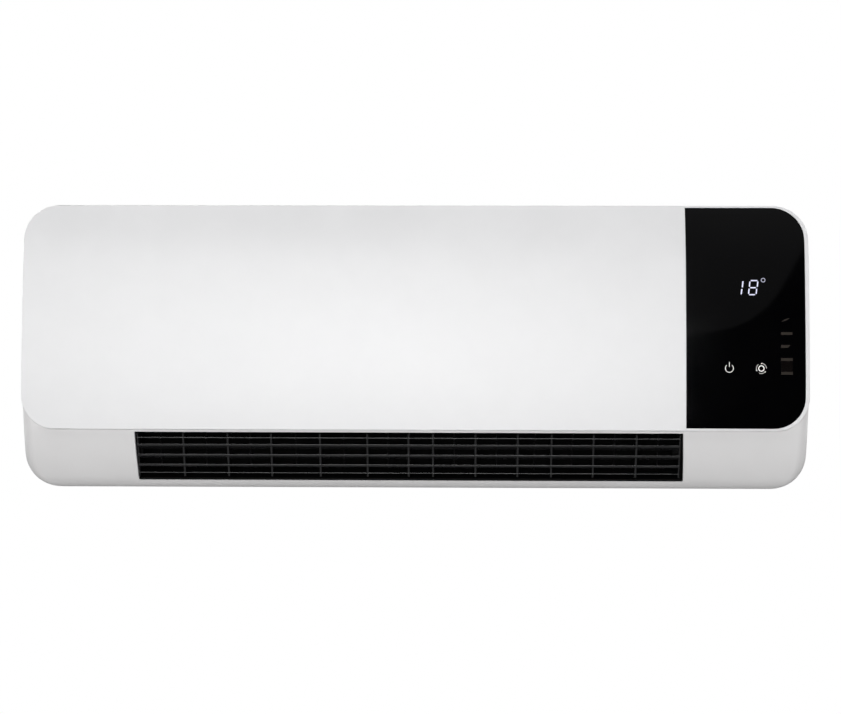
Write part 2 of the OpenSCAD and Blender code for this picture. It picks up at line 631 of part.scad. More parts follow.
// Side view of a thin web between two blades: its front edge falls back
module web_side() {
    for (i = [0:3]) let (a = blade_at[i][0], b = blade_at[i + 1][0])
        polygon([[-louver_front + 0.4, a], [-louver_front + 0.8, a - 1.5],
            [-louver_front + 4, b + 2], [-louver_front + 7, b - 1], [-louver_front + 7, a]]);
}
web_x = let (x = concat([louver_x0], rib_x, [louver_x1]))
    [for (i = [0:len(x) - 2]) if (x[i + 1] - x[i] > 20) (x[i] + x[i + 1]) / 2];
module louver_grid() color([0.12, 0.12, 0.125]) difference() {
    at_louver() {
        for (x = rib_x) across(x - rib_t / 2, x + rib_t / 2) rib_side();
        for (x = [louver_x0, louver_x1 - end_rib_t]) across(x, x + end_rib_t) rib_side();
        for (x = web_x) across(x - 0.5, x + 0.5) web_side();
        for (b = blade_at) across(louver_x0, louver_x1) blade_side(b[0], b[1], b[2], b[3]);
        rod_x([0, 0], 4, louver_x0, louver_x0 + 3);
        rod_x([0, 0], 4, louver_x1 - 5, louver_x1);
        rod_x([0, 0], 2.6, louver_x0 - 4.6, louver_x0 + 1);
    }
    rod_x(pivot_c, 2.5, louver_x1 - 4, louver_x1 + 1);
}
module louver_bush() color([0.9, 0.9, 0.88]) difference() {
    union() {
        rod_x(pivot_c, 4, duct_x0 - 1, outlet_x0 + cheek_in);
        rod_x(pivot_c, 6, duct_x0 - 2.5, duct_x0);
    }
    rod_x(pivot_c, 2.65, outlet_x0 - 5, outlet_x0 + 3);
}

// Geared step motor of the louver: its shaft stands off the middle of its can
can_c = pivot_c + [7, 3.9];
can_x = duct_x1 + end_t;
module louver_motor() color([0.75, 0.76, 0.78]) difference() {
    union() {
        rod_x(can_c, 14, can_x, can_x + 19);
        across(can_x, can_x + 1) translate(can_c) {
            square([7, 42], center = true);
            for (s = [-1, 1]) translate([0, s * 17.5]) circle(3.5);
        }
        block([can_x + 2, can_c[0] + 8, can_c[1] - 7], [can_x + 17, can_c[0] + 17, can_c[1] + 7]);
    }
    for (s = [-1, 1]) rod_x(can_c + [0, s * 17.5], 1.7, can_x - 1, can_x + 3);
    rod_x(pivot_c, 4.6, can_x - 1, can_x + 6);
}
module louver_motor_shaft() color([0.85, 0.7, 0.4]) rod_x(pivot_c, 2.5, louver_x1 - 4, can_x + 5);
module louver_motor_screws() color("silver") for (s = [-1, 1]) {
    rod_x(can_c + [0, s * 17.5], 1.5, can_x - 1.9, can_x + 1);
    rod_x(can_c + [0, s * 17.5], 3, can_x + 1, can_x + 3);
}

// ---------------------------------------------------------------- electronics

display_x = [200, 260.6];
display_z = [-35, 59];
stand_at = [for (x = [208, 255], z = [-32.5, 56.5]) [x, z]];
module display_board() color([0.1, 0.35, 0.2])
    block([display_x[0], display_y, display_z[0]], [display_x[1], display_y + 1.6, display_z[1]]);
digit_c = [230.6, 40.5];
key_at = [[216.7, -14.6], [238.6, -15]];
module led_display() color([0.15, 0.15, 0.16]) {
    front = face_y(digit_c[1] + 8, glass_t) + gap;
    block([digit_c[0] - 13, front, digit_c[1] - 8], [digit_c[0] + 13, display_y, digit_c[1] + 8]);
    bar_front = face_y(22, glass_t) + gap;
    block([251.5, bar_front, -21], [260.6, display_y, 21]);
}
module touch_pads() color([0.2, 0.2, 0.2]) for (p = key_at)
    rod_y(p, 4.5, -display_y, -face_y(p[1] + 4.5, glass_t));
module infrared_receiver() color([0.1, 0.1, 0.12]) {
    block([207, display_y - 6, 38], [213, display_y, 46]);
    rod_y([210, 43], 2.2, -display_y + 5, -display_y + 7.5);
}

module power_board() color([0.1, 0.4, 0.2]) difference() {
    block([bay_x - 23, board_y - 1.6, -64], [bay_x + 23, board_y, 60]);
    for (p = board_post) rod_y(p, 1.6, 10, 30);
}
module relays() color([0.15, 0.3, 0.6]) for (i = [0:2])
    block([bay_x - 20, board_y - 17.1, -30 + i * 20], [bay_x - 1, board_y - 1.6, -14.5 + i * 20]);
module board_transformer() color([0.85, 0.75, 0.3]) {
    block([bay_x + 4, board_y - 19.6, 22], [bay_x + 21, board_y - 1.6, 40]);
    block([bay_x + 2, board_y - 15.6, 25], [bay_x + 23, board_y - 5.6, 37]);
}
module board_capacitors() color([0.2, 0.2, 0.35]) {
    rod_y([bay_x + 12, 8], 6.5, 1.6 - board_y, 21.6 - board_y);
    rod_y([bay_x + 12, -10], 5, 1.6 - board_y, 17.6 - board_y);
    block([bay_x + 5, board_y - 14.6, -34], [bay_x + 20, board_y - 1.6, -22]);
}
module terminal_block() color([0.9, 0.9, 0.88]) difference() {
    block([bay_x - 18, board_y - 15.6, -56], [bay_x + 18, board_y - 1.6, -42]);
    for (x = [bay_x - 12:8:bay_x + 12]) {
        rod_y([x, -49], 2.2, 8 - board_y, 20 - board_y);
        block([x - 2.4, board_y - 7, -57], [x + 2.4, board_y - 3, -50]);
    }
}
module board_screws() color("silver") for (p = board_post) {
    rod_y(p, 1.1, 5 - board_y - 12, 1.6 - board_y);
    rod_y(p, 2.6, 1.6 - board_y, 3.4 - board_y);
}

// Rocker switch on the right side: body, rocker on a cross pin, and two blades
rocker_r = 30;
module switch_body() color([0.1, 0.1, 0.1]) translate([body_w / 2, -switch_d, switch_z]) difference() {
    union() {
        translate([0, -7.5, -10.5]) cube([2, 15, 21]);
        translate([-18, -6.5, -9.6]) cube([18, 13, 19.2]);
    }
    translate([-8, -4.6, -7.6]) cube([20, 9.2, 15.2]);
    translate([-2, 8, 0]) rotate([90, 0, 0]) cylinder(r = 1.1, h = 16);
}
module switch_rocker() color([0.75, 0.1, 0.08]) translate([body_w / 2 - 2, -switch_d, switch_z])
    rotate([0, -8, 0]) {
        rotate([90, 0, 0]) linear_extrude(8.6, center = true)
            polygon([[-3.5, -3.2], [-3.5, 3.2], [1.5, 6.6], [4.6, 6.8], [2.6, 0], [4.6, -6.8], [1.5, -6.6]]);
        rotate([90, 0, 0]) cylinder(r = 1.05, h = 12.6, center = true);
    }
module switch_terminals() color([0.85, 0.75, 0.45]) translate([body_w / 2 - 18, -switch_d, switch_z])
    for (z = [-5, 5]) translate([-8, -2.4, z - 0.4]) cube([8, 4.8, 0.8]);

module lead_bush() color([0.15, 0.15, 0.15]) translate([gland_p[0], -gland_p[1], -body_h / 2]) difference() {
    union() {
        translate([0, 0, seam]) cylinder(r = 7, h = 7);
        translate([0, 0, seam + 7]) cylinder(r = 8.4, h = 2);
        translate([0, 0, -1.6 + seam]) cylinder(r = 8.4, h = 1.6);
    }
    translate([0, 0, -5]) cylinder(r = gland_bore_r, h = 20);
}

// ---------------------------------------------------------------- fasteners

module case_screws() color("silver") for (p = screw_at) {
    rod_y(p, 1.4, rear_d - 4, rear_d + 12);
    difference() {
        rod_y(p, 3.2, rear_d - 6.2, rear_d - 4);
        deep(rear_d - 7, rear_d - 5) translate(p) {
            square([3.6, 0.8], center = true);
            square([0.8, 3.6], center = true);
        }
    }
}
module duct_screws() color("silver") for (p = duct_post) {
    rod_y(p, 1.3, 4.8, 2 - foot_y);
    rod_y(p, 2.8, 2 - foot_y, 3.8 - foot_y);
}

rear_cover();
front_housing();
front_panel();
control_panel();
inlet_grille();
outlet_frame();
duct_scroll();
duct_tongue();
duct_end_left();
duct_end_right();
fan_wheel();
motor_shaft();
motor_rotor();
fan_end_pin();
fan_bearing();
bearing_rubber();
motor_laminations();
motor_coil();
motor_bracket_inner();
motor_bracket_outer();
motor_screws();
heater_frames();
heater_fins();
heater_bars();
heater_terminals();
thermal_cutout();
thermal_fuse();
louver_grid();
louver_bush();
louver_motor();
louver_motor_shaft();
louver_motor_screws();
display_board();
led_display();
touch_pads();
infrared_receiver();
power_board();
relays();
board_transformer();
board_capacitors();
terminal_block();
board_screws();
switch_body();
switch_rocker();
switch_terminals();
lead_bush();
case_screws();
duct_screws();
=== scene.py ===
import logging
import math
from collections.abc import Callable, Iterable
from dataclasses import dataclass, field
from enum import Enum

import bmesh
import bpy
from mathutils import Matrix, Vector


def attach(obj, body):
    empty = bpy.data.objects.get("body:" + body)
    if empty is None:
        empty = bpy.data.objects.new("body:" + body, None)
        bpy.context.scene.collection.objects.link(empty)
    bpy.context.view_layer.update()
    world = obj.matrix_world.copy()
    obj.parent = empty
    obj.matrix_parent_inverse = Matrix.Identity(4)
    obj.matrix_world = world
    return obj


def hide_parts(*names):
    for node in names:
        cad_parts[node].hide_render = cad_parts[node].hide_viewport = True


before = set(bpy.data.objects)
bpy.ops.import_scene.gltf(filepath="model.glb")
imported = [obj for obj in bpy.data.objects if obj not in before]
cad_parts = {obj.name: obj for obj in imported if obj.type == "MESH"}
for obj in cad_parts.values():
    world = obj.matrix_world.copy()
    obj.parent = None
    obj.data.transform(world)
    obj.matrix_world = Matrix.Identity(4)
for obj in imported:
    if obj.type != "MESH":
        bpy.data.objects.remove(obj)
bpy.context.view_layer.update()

LOG = logging.getLogger("fan_heater")
MM = 0.001
PHOTO_WIDTH = 841
SENSOR_MM = 36.0
SAME_POINT = 1e-4
QUARTER = math.radians(90)

Mesh = bmesh.types.BMesh
Tree = bpy.types.NodeTree
Material = bpy.types.Material
Pair = tuple[float, float]
Box = tuple[float, float, float, float]
Outline = list[Pair]
Test = Callable[[Vector], bool]

# Sizes in millimetres that more than one sub-assembly keeps to.
WINDOW: Box = (203.0, 265.0, -30.0, 54.0)  # x and z of the opening behind the black panel
OUTLET_X: Pair = (-193.7, 185.4)  # the outlet's ends
PIVOT: Pair = (-98.5, -72.3)  # y and z of the louver's axis
REST_TILT = 22.0  # degrees by which the louver is turned at rest

# Nearly all values of a noise pattern lie between these two.
NOISE_SPAN = {"From Min": 0.3, "From Max": 0.7}


# ---------------------------------------------------------------- small tools

def linear(code: str) -> tuple[float, float, float, float]:
    """Turns an sRGB colour into linear light.

    Args:
        code: the colour as six hex digits.
    Returns:
        Red, green, blue and an alpha of one.
    """
    parts = [int(code[i:i + 2], 16) / 255 for i in (0, 2, 4)]
    low = [c / 12.92 if c <= 0.04045 else ((c + 0.055) / 1.055) ** 2.4 for c in parts]
    return low[0], low[1], low[2], 1.0


def per_metre(size_mm: float) -> float:
    """Gives the texture scale whose features are size_mm wide on Object coordinates."""
    return 1.0 / (size_mm * MM)


def wire(tree: Tree, node: bpy.types.Node, settings: dict, links: dict) -> None:
    """Sets a node's values and links what feeds it.

    Args:
        tree: the node tree that holds the node.
        node: the node.
        settings: values by socket name or number, or else by property name.
        links: output sockets by the name or number of the socket they feed.
    """
    for key, value in settings.items():
        if isinstance(key, int) or key in node.inputs:
            node.inputs[key].default_value = value
        else:
            setattr(node, key, value)
    for key, source in links.items():
        tree.links.new(source, node.inputs[key])


def add_node(tree: Tree, kind: str, settings: dict | None = None,
             links: dict | None = None) -> bpy.types.Node:
    """Adds one node with its settings and its incoming links.

    Args:
        tree: the node tree that takes the node.
        kind: the node's type name.
        settings: as in wire.
        links: as in wire.
    Returns:
        The new node.
    """
    node = tree.nodes.new(kind)
    wire(tree, node, settings or {}, links or {})
    return node


def new_material(name: str) -> tuple[Material, Tree, bpy.types.Node]:
    """Makes a material with the usual shader.

    Args:
        name: the material's name.
    Returns:
        The material, its node tree and its shader.
    """
    material = bpy.data.materials.new(name)
    material.use_nodes = True
    return material, material.node_tree, material.node_tree.nodes["Principled BSDF"]


def new_verts(made: list) -> list:
    """Picks the vertices out of what an operator made."""
    return [g for g in made if isinstance(g, bmesh.types.BMVert)]


def cut(bm: Mesh, axis: int, places: Iterable[float], where: Test | None = None) -> None:
    """Cuts faces with planes square to one axis, without taking anything away.

    Args:
        bm: the mesh, in millimetres.
        axis: 0, 1 or 2 for X, Y or Z.
        places: the planes' places along the axis.
        where: tells from a face's centre whether the face is cut; all are without it.
    """
    normal = Vector((0, 0, 0))
    normal[axis] = 1
    for place in places:
        faces = [f for f in bm.faces if where is None or where(f.calc_center_median())]
        parts = dict.fromkeys(g for f in faces for g in (*f.edges, *f.verts))
        bmesh.ops.bisect_plane(bm, geom=[*parts, *faces], dist=SAME_POINT,
                               plane_co=normal * place, plane_no=normal)


def drop(bm: Mesh, where: Test) -> list:
    """Takes faces away.

    Args:
        bm: the mesh.
        where: tells from a face's centre whether the face goes.
    Returns:
        The rim edges left.
    """
    gone = [f for f in bm.faces if where(f.calc_center_median())]
    inside = set(gone)
    rim = [e for e in dict.fromkeys(e for f in gone for e in f.edges)
           if any(f not in inside for f in e.link_faces)]
    bmesh.ops.delete(bm, geom=gone, context="FACES")
    return [e for e in rim if e.is_valid]


def open_up(bm: Mesh, first: int, second: int, box: Box, zone: Test) -> list:
    """Cuts a rectangular opening in a skin.

    Args:
        bm: the mesh.
        first: axis of the box's first two numbers.
        second: axis of its last two.
        box: the opening's limits.
        zone: tells from a face's centre whether the face is on the right side of the skin.
    Returns:
        The opening's rim edges.
    """
    a0, a1, b0, b1 = box
    cut(bm, first, (a0, a1), zone)
    cut(bm, second, (b0, b1), lambda p: zone(p) and a0 < p[first] < a1)
    return drop(bm, lambda p: zone(p) and a0 < p[first] < a1 and b0 < p[second] < b1)


def soften(bm: Mesh, parts: Iterable, width: float, segments: int = 2,
           affect: str = "EDGES") -> None:
    """Rounds edges, or a flat plate's corners, to a radius given in millimetres."""
    bmesh.ops.bevel(bm, geom=list(parts), offset=width, offset_type="OFFSET", segments=segments,
                    profile=0.5, affect=affect, material=-1, clamp_overlap=False)


def sharp_edges(bm: Mesh, where: Callable[[bmesh.types.BMVert], bool], degrees: float) -> list:
    """Finds edges whose faces meet at more than an angle and whose two ends answer the test."""
    limit = math.radians(degrees)
    return [e for e in bm.edges if e.calc_face_angle(0) > limit and all(where(v) for v in e.verts)]


def flat_panel(bm: Mesh, centre: Pair, size: Pair, lean: float = 0.0, columns: int = 1) -> list:
    """Adds a rectangle in the XZ plane, facing the front.

    Args:
        bm: the mesh that takes it.
        centre: its middle as (x, z).
        size: its size along X and Z before it leans.
        lean: its turn in radians, from X towards Z.
        columns: how many faces it has along X.
    Returns:
        Its vertices.
    """
    place = (Matrix.Translation((centre[0], 0, centre[1])) @ Matrix.Rotation(-lean, 4, "Y")
             @ Matrix.Rotation(QUARTER, 4, "X") @ Matrix.Diagonal((*size, 1, 1)))
    return bmesh.ops.create_grid(bm, x_segments=columns, y_segments=1, size=0.5,
                                 matrix=place)["verts"]


def rounded_plate(width: float, height: float, top_r: float, low_r: float, centre: Pair,
                  steps: int) -> Mesh:
    """Makes a flat plate in the XZ plane with round corners, facing the front.

    Args:
        width: size along X.
        height: size along Z.
        top_r: radius of the upper corners.
        low_r: radius of the lower corners.
        centre: middle of the plate as (x, z).
        steps: segments of each corner.
    Returns:
        The new mesh, one face.
    """
    bm = bmesh.new()
    flat_panel(bm, centre, (width, height))
    corners = (([v for v in bm.verts if v.co.z > centre[1]], top_r),
               ([v for v in bm.verts if v.co.z < centre[1]], low_r))
    for verts, radius in corners:
        soften(bm, verts, radius, steps, "VERTICES")
    return bm


def prism(bm: Mesh, outline: Outline, x0: float, x1: float) -> None:
    """Adds a bar along X whose side view is an outline.

    Args:
        bm: the mesh that takes the bar.
        outline: side view as (y, z) points.
        x0: the bar's start.
        x1: the bar's end.
    """
    start = [bm.verts.new((x0, y, z)) for y, z in outline]
    edges = [bm.edges.new(pair) for pair in zip(start, start[1:] + start[:1])]
    side = bmesh.ops.edgeloop_fill(bm, edges=edges)["faces"]
    made = bmesh.ops.extrude_face_region(bm, geom=side)["geom"]
    bmesh.ops.translate(bm, verts=new_verts(made), vec=(x1 - x0, 0, 0))


def point_outwards(bm: Mesh) -> None:
    """Merges doubles and turns all faces outwards on a mesh of closed parts."""
    bmesh.ops.remove_doubles(bm, verts=bm.verts, dist=SAME_POINT)
    bmesh.ops.recalc_face_normals(bm, faces=bm.faces)


def as_object(bm: Mesh, name: str, material: Material) -> bpy.types.Object:
    """Turns a mesh in metres into an object of the scene.

    Args:
        bm: the mesh, used up by the call.
        name: the object's name.
        material: its material.
    Returns:
        The new object.
    """
    mesh = bpy.data.meshes.new(name)
    bm.to_mesh(mesh)
    bm.free()
    mesh.materials.append(material)
    made = bpy.data.objects.new(name, mesh)
    bpy.context.scene.collection.objects.link(made)
    return made


# ---------------------------------------------------------------- finishes

class Grain(Enum):
    """How a surface was made, which sets the relief that its nodes draw."""

    MOULDED = "fine even grain off a spark-eroded mould"
    POLISHED = "nearly flat, off a polished mould"
    BRUSHED = "fine lines along X"
    SPANGLED = "zinc crystals with their own tones"
    CAST = "coarse uneven skin"
    WOUND = "wire laid side by side"
    STACKED = "thin sheets on edge"
    TRACKED = "copper tracks under green lacquer"


@dataclass(frozen=True)
class Finish:
    """One real material with the way its surface was made.

    Colours are sRGB hex; tone is the second colour that the slow patches reach, and patch_mm is
    their size. grain_mm is the real spacing of the relief and relief_mm its height. spread is
    how far the roughness strays to either side.
    """

    name: str
    colour: str
    tone: str
    grain: Grain
    grain_mm: float
    relief_mm: float
    roughness: float
    spread: float
    metallic: float = 0.0
    ior: float = 1.5
    coat: float = 0.0
    coat_roughness: float = 0.05
    patch_mm: float = 45.0

    def relief(self, tree: Tree, at: bpy.types.NodeSocket) -> bpy.types.NodeSocket:
        """Draws the grain's height.

        Args:
            tree: the material's node tree.
            at: Object coordinates.
        Returns:
            The socket that carries the height from 0 to 1.
        """
        fine = per_metre(self.grain_mm)
        bands = fine / 2 / math.pi
        mapping = {Grain.BRUSHED: {"Scale": (0.04, 1.0, 1.0)},
                   Grain.TRACKED: {"Rotation": (QUARTER, 0, 0)}}.get(self.grain)
        if mapping:
            at = add_node(tree, "ShaderNodeMapping", mapping, {"Vector": at}).outputs[0]
        kind, settings, output = {
            Grain.MOULDED: ("Noise", {"Scale": fine, "Detail": 2.0}, 0),
            Grain.POLISHED: ("Noise", {"Scale": fine, "Detail": 2.0}, 0),
            Grain.CAST: ("Noise", {"Scale": fine, "Detail": 5.0}, 0),
            Grain.BRUSHED: ("Noise", {"Scale": fine, "Detail": 3.0}, 0),
            Grain.SPANGLED: ("Voronoi", {"Scale": fine}, "Color"),
            Grain.WOUND: ("Wave", {"bands_direction": "X", "Scale": bands, "Distortion": 0.4,
                                   "Detail": 1.0}, "Fac"),
            Grain.STACKED: ("Wave", {"bands_direction": "X", "wave_profile": "SAW",
                                     "Scale": bands}, "Fac"),
            Grain.TRACKED: ("Brick", {"Scale": fine, "Mortar Size": 0.07,
                                      "Color1": (0, 0, 0, 1), "Color2": (0.15, 0.15, 0.15, 1),
                                      "Mortar": (1, 1, 1, 1)}, "Color"),
        }[self.grain]
        return add_node(tree, "ShaderNodeTex" + kind, settings, {"Vector": at}).outputs[output]

    def build(self) -> Material:
        """Builds the material: slow patches of tone and gloss over the grain's relief.

        Returns:
            The new material.
        """
        material, tree, shader = new_material(self.name)
        at = add_node(tree, "ShaderNodeTexCoord").outputs["Object"]
        patches = add_node(tree, "ShaderNodeTexNoise",
                           {"Scale": per_metre(self.patch_mm), "Detail": 3.0},
                           {"Vector": at}).outputs[0]
        height = self.relief(tree, at)
        drawn = self.grain in (Grain.SPANGLED, Grain.TRACKED, Grain.WOUND, Grain.STACKED)
        tones = add_node(tree, "ShaderNodeValToRGB", links={"Fac": height if drawn else patches})
        low, high = tones.color_ramp.elements[0], tones.color_ramp.elements[1]
        low.position, high.position = (0.1, 0.9) if drawn else (0.35, 0.65)
        low.color, high.color = linear(self.colour), linear(self.tone)
        gloss = add_node(tree, "ShaderNodeMapRange",
                         {**NOISE_SPAN, "To Min": max(0.02, self.roughness - self.spread),
                          "To Max": self.roughness + self.spread}, {"Value": patches})
        bump = add_node(tree, "ShaderNodeBump",
                        {"Strength": 1.0, "Distance": self.relief_mm * MM}, {"Height": height})
        wire(tree, shader,
             {"Metallic": self.metallic, "Coat Weight": self.coat,
              "Coat Roughness": self.coat_roughness},
             {"Base Color": tones.outputs[0], "Roughness": gloss.outputs[0],
              "Normal": bump.outputs[0]})
        if self.metallic < 0.5:
            shader.inputs["IOR"].default_value = self.ior
        return material


@dataclass(frozen=True)
class Glow:
    """Light of a diode seen through dark acrylic, a little brighter in some places than others."""

    name: str
    colour: str
    strength: float
    uneven_mm: float = 3.0
    weakest: float = 0.85
    strongest: float = 1.1

    def build(self) -> Material:
        """Builds the material with slow changes of brightness.

        Returns:
            The new material.
        """
        material, tree, shader = new_material(self.name)
        at = add_node(tree, "ShaderNodeTexCoord").outputs["Object"]
        uneven = add_node(tree, "ShaderNodeTexNoise", {"Scale": per_metre(self.uneven_mm)},
                          {"Vector": at})
        power = add_node(tree, "ShaderNodeMapRange",
                         {**NOISE_SPAN, "To Min": self.strength * self.weakest,
                          "To Max": self.strength * self.strongest}, {"Value": uneven.outputs[0]})
        wire(tree, shader, {"Emission Color": linear(self.colour),
                            "Base Color": linear("050505"), "Roughness": 0.08},
             {"Emission Strength": power.outputs[0]})
        return material


# White ABS off a polished mould: a calm gloss with a wide soft highlight.
FRONT_ABS = Finish("white_abs_gloss_moulded", "f0f0f1", "f3f3f4", Grain.MOULDED, 0.9, 0.0012,
                   0.34, 0.02)
# White ABS off a spark-eroded mould: satin, with a grain that only shows close up.
HOUSING_ABS = Finish("white_abs_satin_moulded", "f0efef", "f3f2f2", Grain.MOULDED, 0.7, 0.003,
                     0.42, 0.03)
# Black cast acrylic sheet: deep black with a mirror gloss and the faintest smear.
BLACK_ACRYLIC = Finish("black_acrylic_polished", "020203", "030304", Grain.POLISHED, 30.0, 0.0004,
                       0.03, 0.01, ior=1.49, patch_mm=60.0)
# Black ABS of the louver: semi-gloss, with the soft sheen of a textured mould.
LOUVER_ABS = Finish("black_abs_moulded", "1c1c1d", "202021", Grain.MOULDED, 0.5, 0.004,
                    0.26, 0.03, ior=1.4)
# Heat-proof black polyester of the mouth, dull; its near-black colour is partly the plastic's own
# black and partly painted shade of the deep outlet. The louver's bosses take it too, as a darker
# shaded copy of the louver's black plastic.
BLACK_PBT_PAINTED_SHADE = Finish("black_pbt_moulded_painted_shade", "050505", "080808", Grain.MOULDED, 0.6, 0.006,
                   0.7, 0.04, ior=1.2)
# Black powder coat on the duct's sheet, dull; its near-black colour is partly the coat's own black
# and partly painted shade, so that the duct reads as a dark hole.
DUCT_COAT_PAINTED_SHADE = Finish("black_coated_sheet_painted_shade", "040404", "070707", Grain.CAST, 0.8, 0.012,
                   0.8, 0.05, ior=1.2)
# Galvanised sheet: grey crystals a few millimetres wide that mirror unevenly.
ZINC_SHEET = Finish("galvanised_sheet_spangled", "a9adb0", "c3c7ca", Grain.SPANGLED, 5.0, 0.002,
                    0.36, 0.08, metallic=1.0)
# Turned steel: bright with fine lines.
STEEL = Finish("steel_turned", "b4b6b8", "c6c8ca", Grain.BRUSHED, 0.4, 0.003,
               0.28, 0.05, metallic=1.0)
# Silicon steel laminations: a dark stack; its 0.5 mm sheets are drawn 1 mm thick so that they show.
CORE_STEEL = Finish("silicon_steel_stacked", "5d6166", "83888d", Grain.STACKED, 1.0, 0.05,
                    0.42, 0.06, metallic=1.0)
# Enamelled copper wire: warm red-brown; 0.3 mm wire drawn 0.8 mm wide so that the turns show.
COPPER = Finish("enamelled_copper_wound", "7a3416", "b8602c", Grain.WOUND, 0.8, 0.08,
                0.3, 0.05, metallic=0.8, coat=0.4)
# Grey polyamide of the fan wheel: dark and dull.
GREY_PA = Finish("grey_polyamide_moulded", "3a3c40", "424449", Grain.MOULDED, 0.6, 0.005,
                 0.45, 0.05)
# Rubber: dull black with a coarse bloom.
RUBBER = Finish("rubber_moulded", "161616", "202020", Grain.CAST, 1.2, 0.02, 0.7, 0.08)
# Sintered bronze: porous and dark gold.
BRONZE = Finish("bronze_sintered", "8a6436", "a3773f", Grain.CAST, 0.4, 0.02,
                0.45, 0.08, metallic=1.0)
# Rolled aluminium strip: pale with rolling lines.
ALUMINIUM = Finish("aluminium_rolled", "c9cccf", "dadde0", Grain.BRUSHED, 0.5, 0.004,
                   0.34, 0.06, metallic=1.0)
# Heat-proof polyester of the heater's ends: cream and dull.
HEAT_PBT = Finish("cream_pbt_moulded", "cfc6ab", "d8d0b8", Grain.MOULDED, 0.8, 0.008, 0.5, 0.05)
# Stamped brass tab: yellow, slightly tarnished.
BRASS = Finish("brass_stamped", "b08d45", "c9a55a", Grain.BRUSHED, 0.5, 0.003,
               0.3, 0.08, metallic=1.0)
# Circuit board: green lacquer over tracks; the 0.3 mm tracks are drawn wider so that they show.
BOARD = Finish("circuit_board_lacquered", "0f3d22", "2a6b3c", Grain.TRACKED, 6.0, 0.03,
               0.3, 0.05, coat=0.5)
# Black epoxy of components: charcoal with a dull skin.
COMPONENT = Finish("black_epoxy_moulded", "17181a", "1e1f22", Grain.MOULDED, 0.5, 0.01, 0.5, 0.05)
# Blue polyester of a relay's case: glossy.
RELAY_BLUE = Finish("blue_pbt_moulded", "1d4f8f", "215a9f", Grain.MOULDED, 0.7, 0.004, 0.3, 0.05)
# Yellow polyester tape round a transformer: glossy with laps.
TAPE = Finish("yellow_polyester_tape", "c9a31e", "dcb732", Grain.WOUND, 6.0, 0.05,
              0.25, 0.05, coat=0.3)
# Shrunk sleeve of a capacitor: smooth dark blue.
SLEEVE = Finish("capacitor_sleeve_shrunk", "1d2140", "262b50", Grain.POLISHED, 4.0, 0.01,
                0.3, 0.05)
# Natural nylon: milky white.
NYLON = Finish("white_nylon_moulded", "dddcd4", "e6e5de", Grain.MOULDED, 0.8, 0.006, 0.42, 0.05)
# Red polyamide rocker: glossy.
ROCKER_RED = Finish("red_polyamide_moulded", "a31410", "b21a14", Grain.MOULDED, 0.6, 0.003,
                    0.28, 0.04)
# Dark print under the acrylic: a warm grey that barely stands out.
DIM_PRINT = Finish("dark_print_under_acrylic", "37332f", "3c3733", Grain.POLISHED, 6.0, 0.0004,
                   0.03, 0.01, ior=1.49)
# Tinted print under the acrylic: a trace lighter than the black round it.
FAINT_PRINT = Finish("tinted_print_under_acrylic", "0e0b0b", "110e0d", Grain.POLISHED, 6.0,
                     0.0004, 0.03, 0.01, ior=1.49)
# Matt paper of the studio's floor: pale grey without a highlight.
FLOOR_PAPER = Finish("floor_paper_matt", "c6c6c6", "cacaca", Grain.CAST, 6.0, 0.05,
                     0.9, 0.02, patch_mm=400.0)
# Diodes of the display behind the acrylic: a clear white with a trace of violet.
WHITE_GLOW = Glow("led_light_bluish_white", "e4e6ff", 1.15)
# Diodes behind the touch symbols: a plain white, strong because the strokes are thin.
KEY_GLOW = Glow("key_light_white", "f6f6f4", 1.5)

# Nodes of the frame that are shown as they are, by finish.
CARRIED: dict[str, Finish] = {
    # The duct's nodes take the black coat with its painted shade of the deep outlet.
    "duct_scroll": DUCT_COAT_PAINTED_SHADE, "duct_tongue": DUCT_COAT_PAINTED_SHADE, "duct_end_left": DUCT_COAT_PAINTED_SHADE,
    "duct_end_right": DUCT_COAT_PAINTED_SHADE, "fan_wheel": GREY_PA, "motor_shaft": STEEL,
    "motor_rotor": CORE_STEEL, "fan_end_pin": STEEL, "fan_bearing": BRONZE,
    "bearing_rubber": RUBBER, "motor_laminations": CORE_STEEL, "motor_coil": COPPER,
    "motor_bracket_inner": ZINC_SHEET, "motor_bracket_outer": ZINC_SHEET, "motor_screws": STEEL,
    "heater_frames": HEAT_PBT, "heater_fins": ALUMINIUM, "heater_bars": ALUMINIUM,
    "heater_terminals": BRASS, "thermal_cutout": COMPONENT, "thermal_fuse": STEEL,
    "louver_bush": NYLON, "louver_motor": ZINC_SHEET, "louver_motor_shaft": BRASS,
    "louver_motor_screws": STEEL, "display_board": BOARD, "led_display": COMPONENT,
    "touch_pads": RUBBER, "infrared_receiver": COMPONENT, "power_board": BOARD,
    "relays": RELAY_BLUE, "board_transformer": TAPE, "board_capacitors": SLEEVE,
    "terminal_block": NYLON, "board_screws": STEEL, "switch_terminals": BRASS,
    "case_screws": STEEL, "duct_screws": STEEL,
}


class FinishShelf:
    """Builds each finish once and hands it out."""

    def __init__(self) -> None:
        """Starts with no material."""
        self.built: dict[str, Material] = {}

    def get(self, finish: Finish | Glow) -> Material:
        """Gives a finish's material, and builds it at the first call.

        Args:
            finish: the finish.
        Returns:
            Its material.
        """
        if finish.name not in self.built:
            self.built[finish.name] = finish.build()
        return self.built[finish.name]


SHELF = FinishShelf()


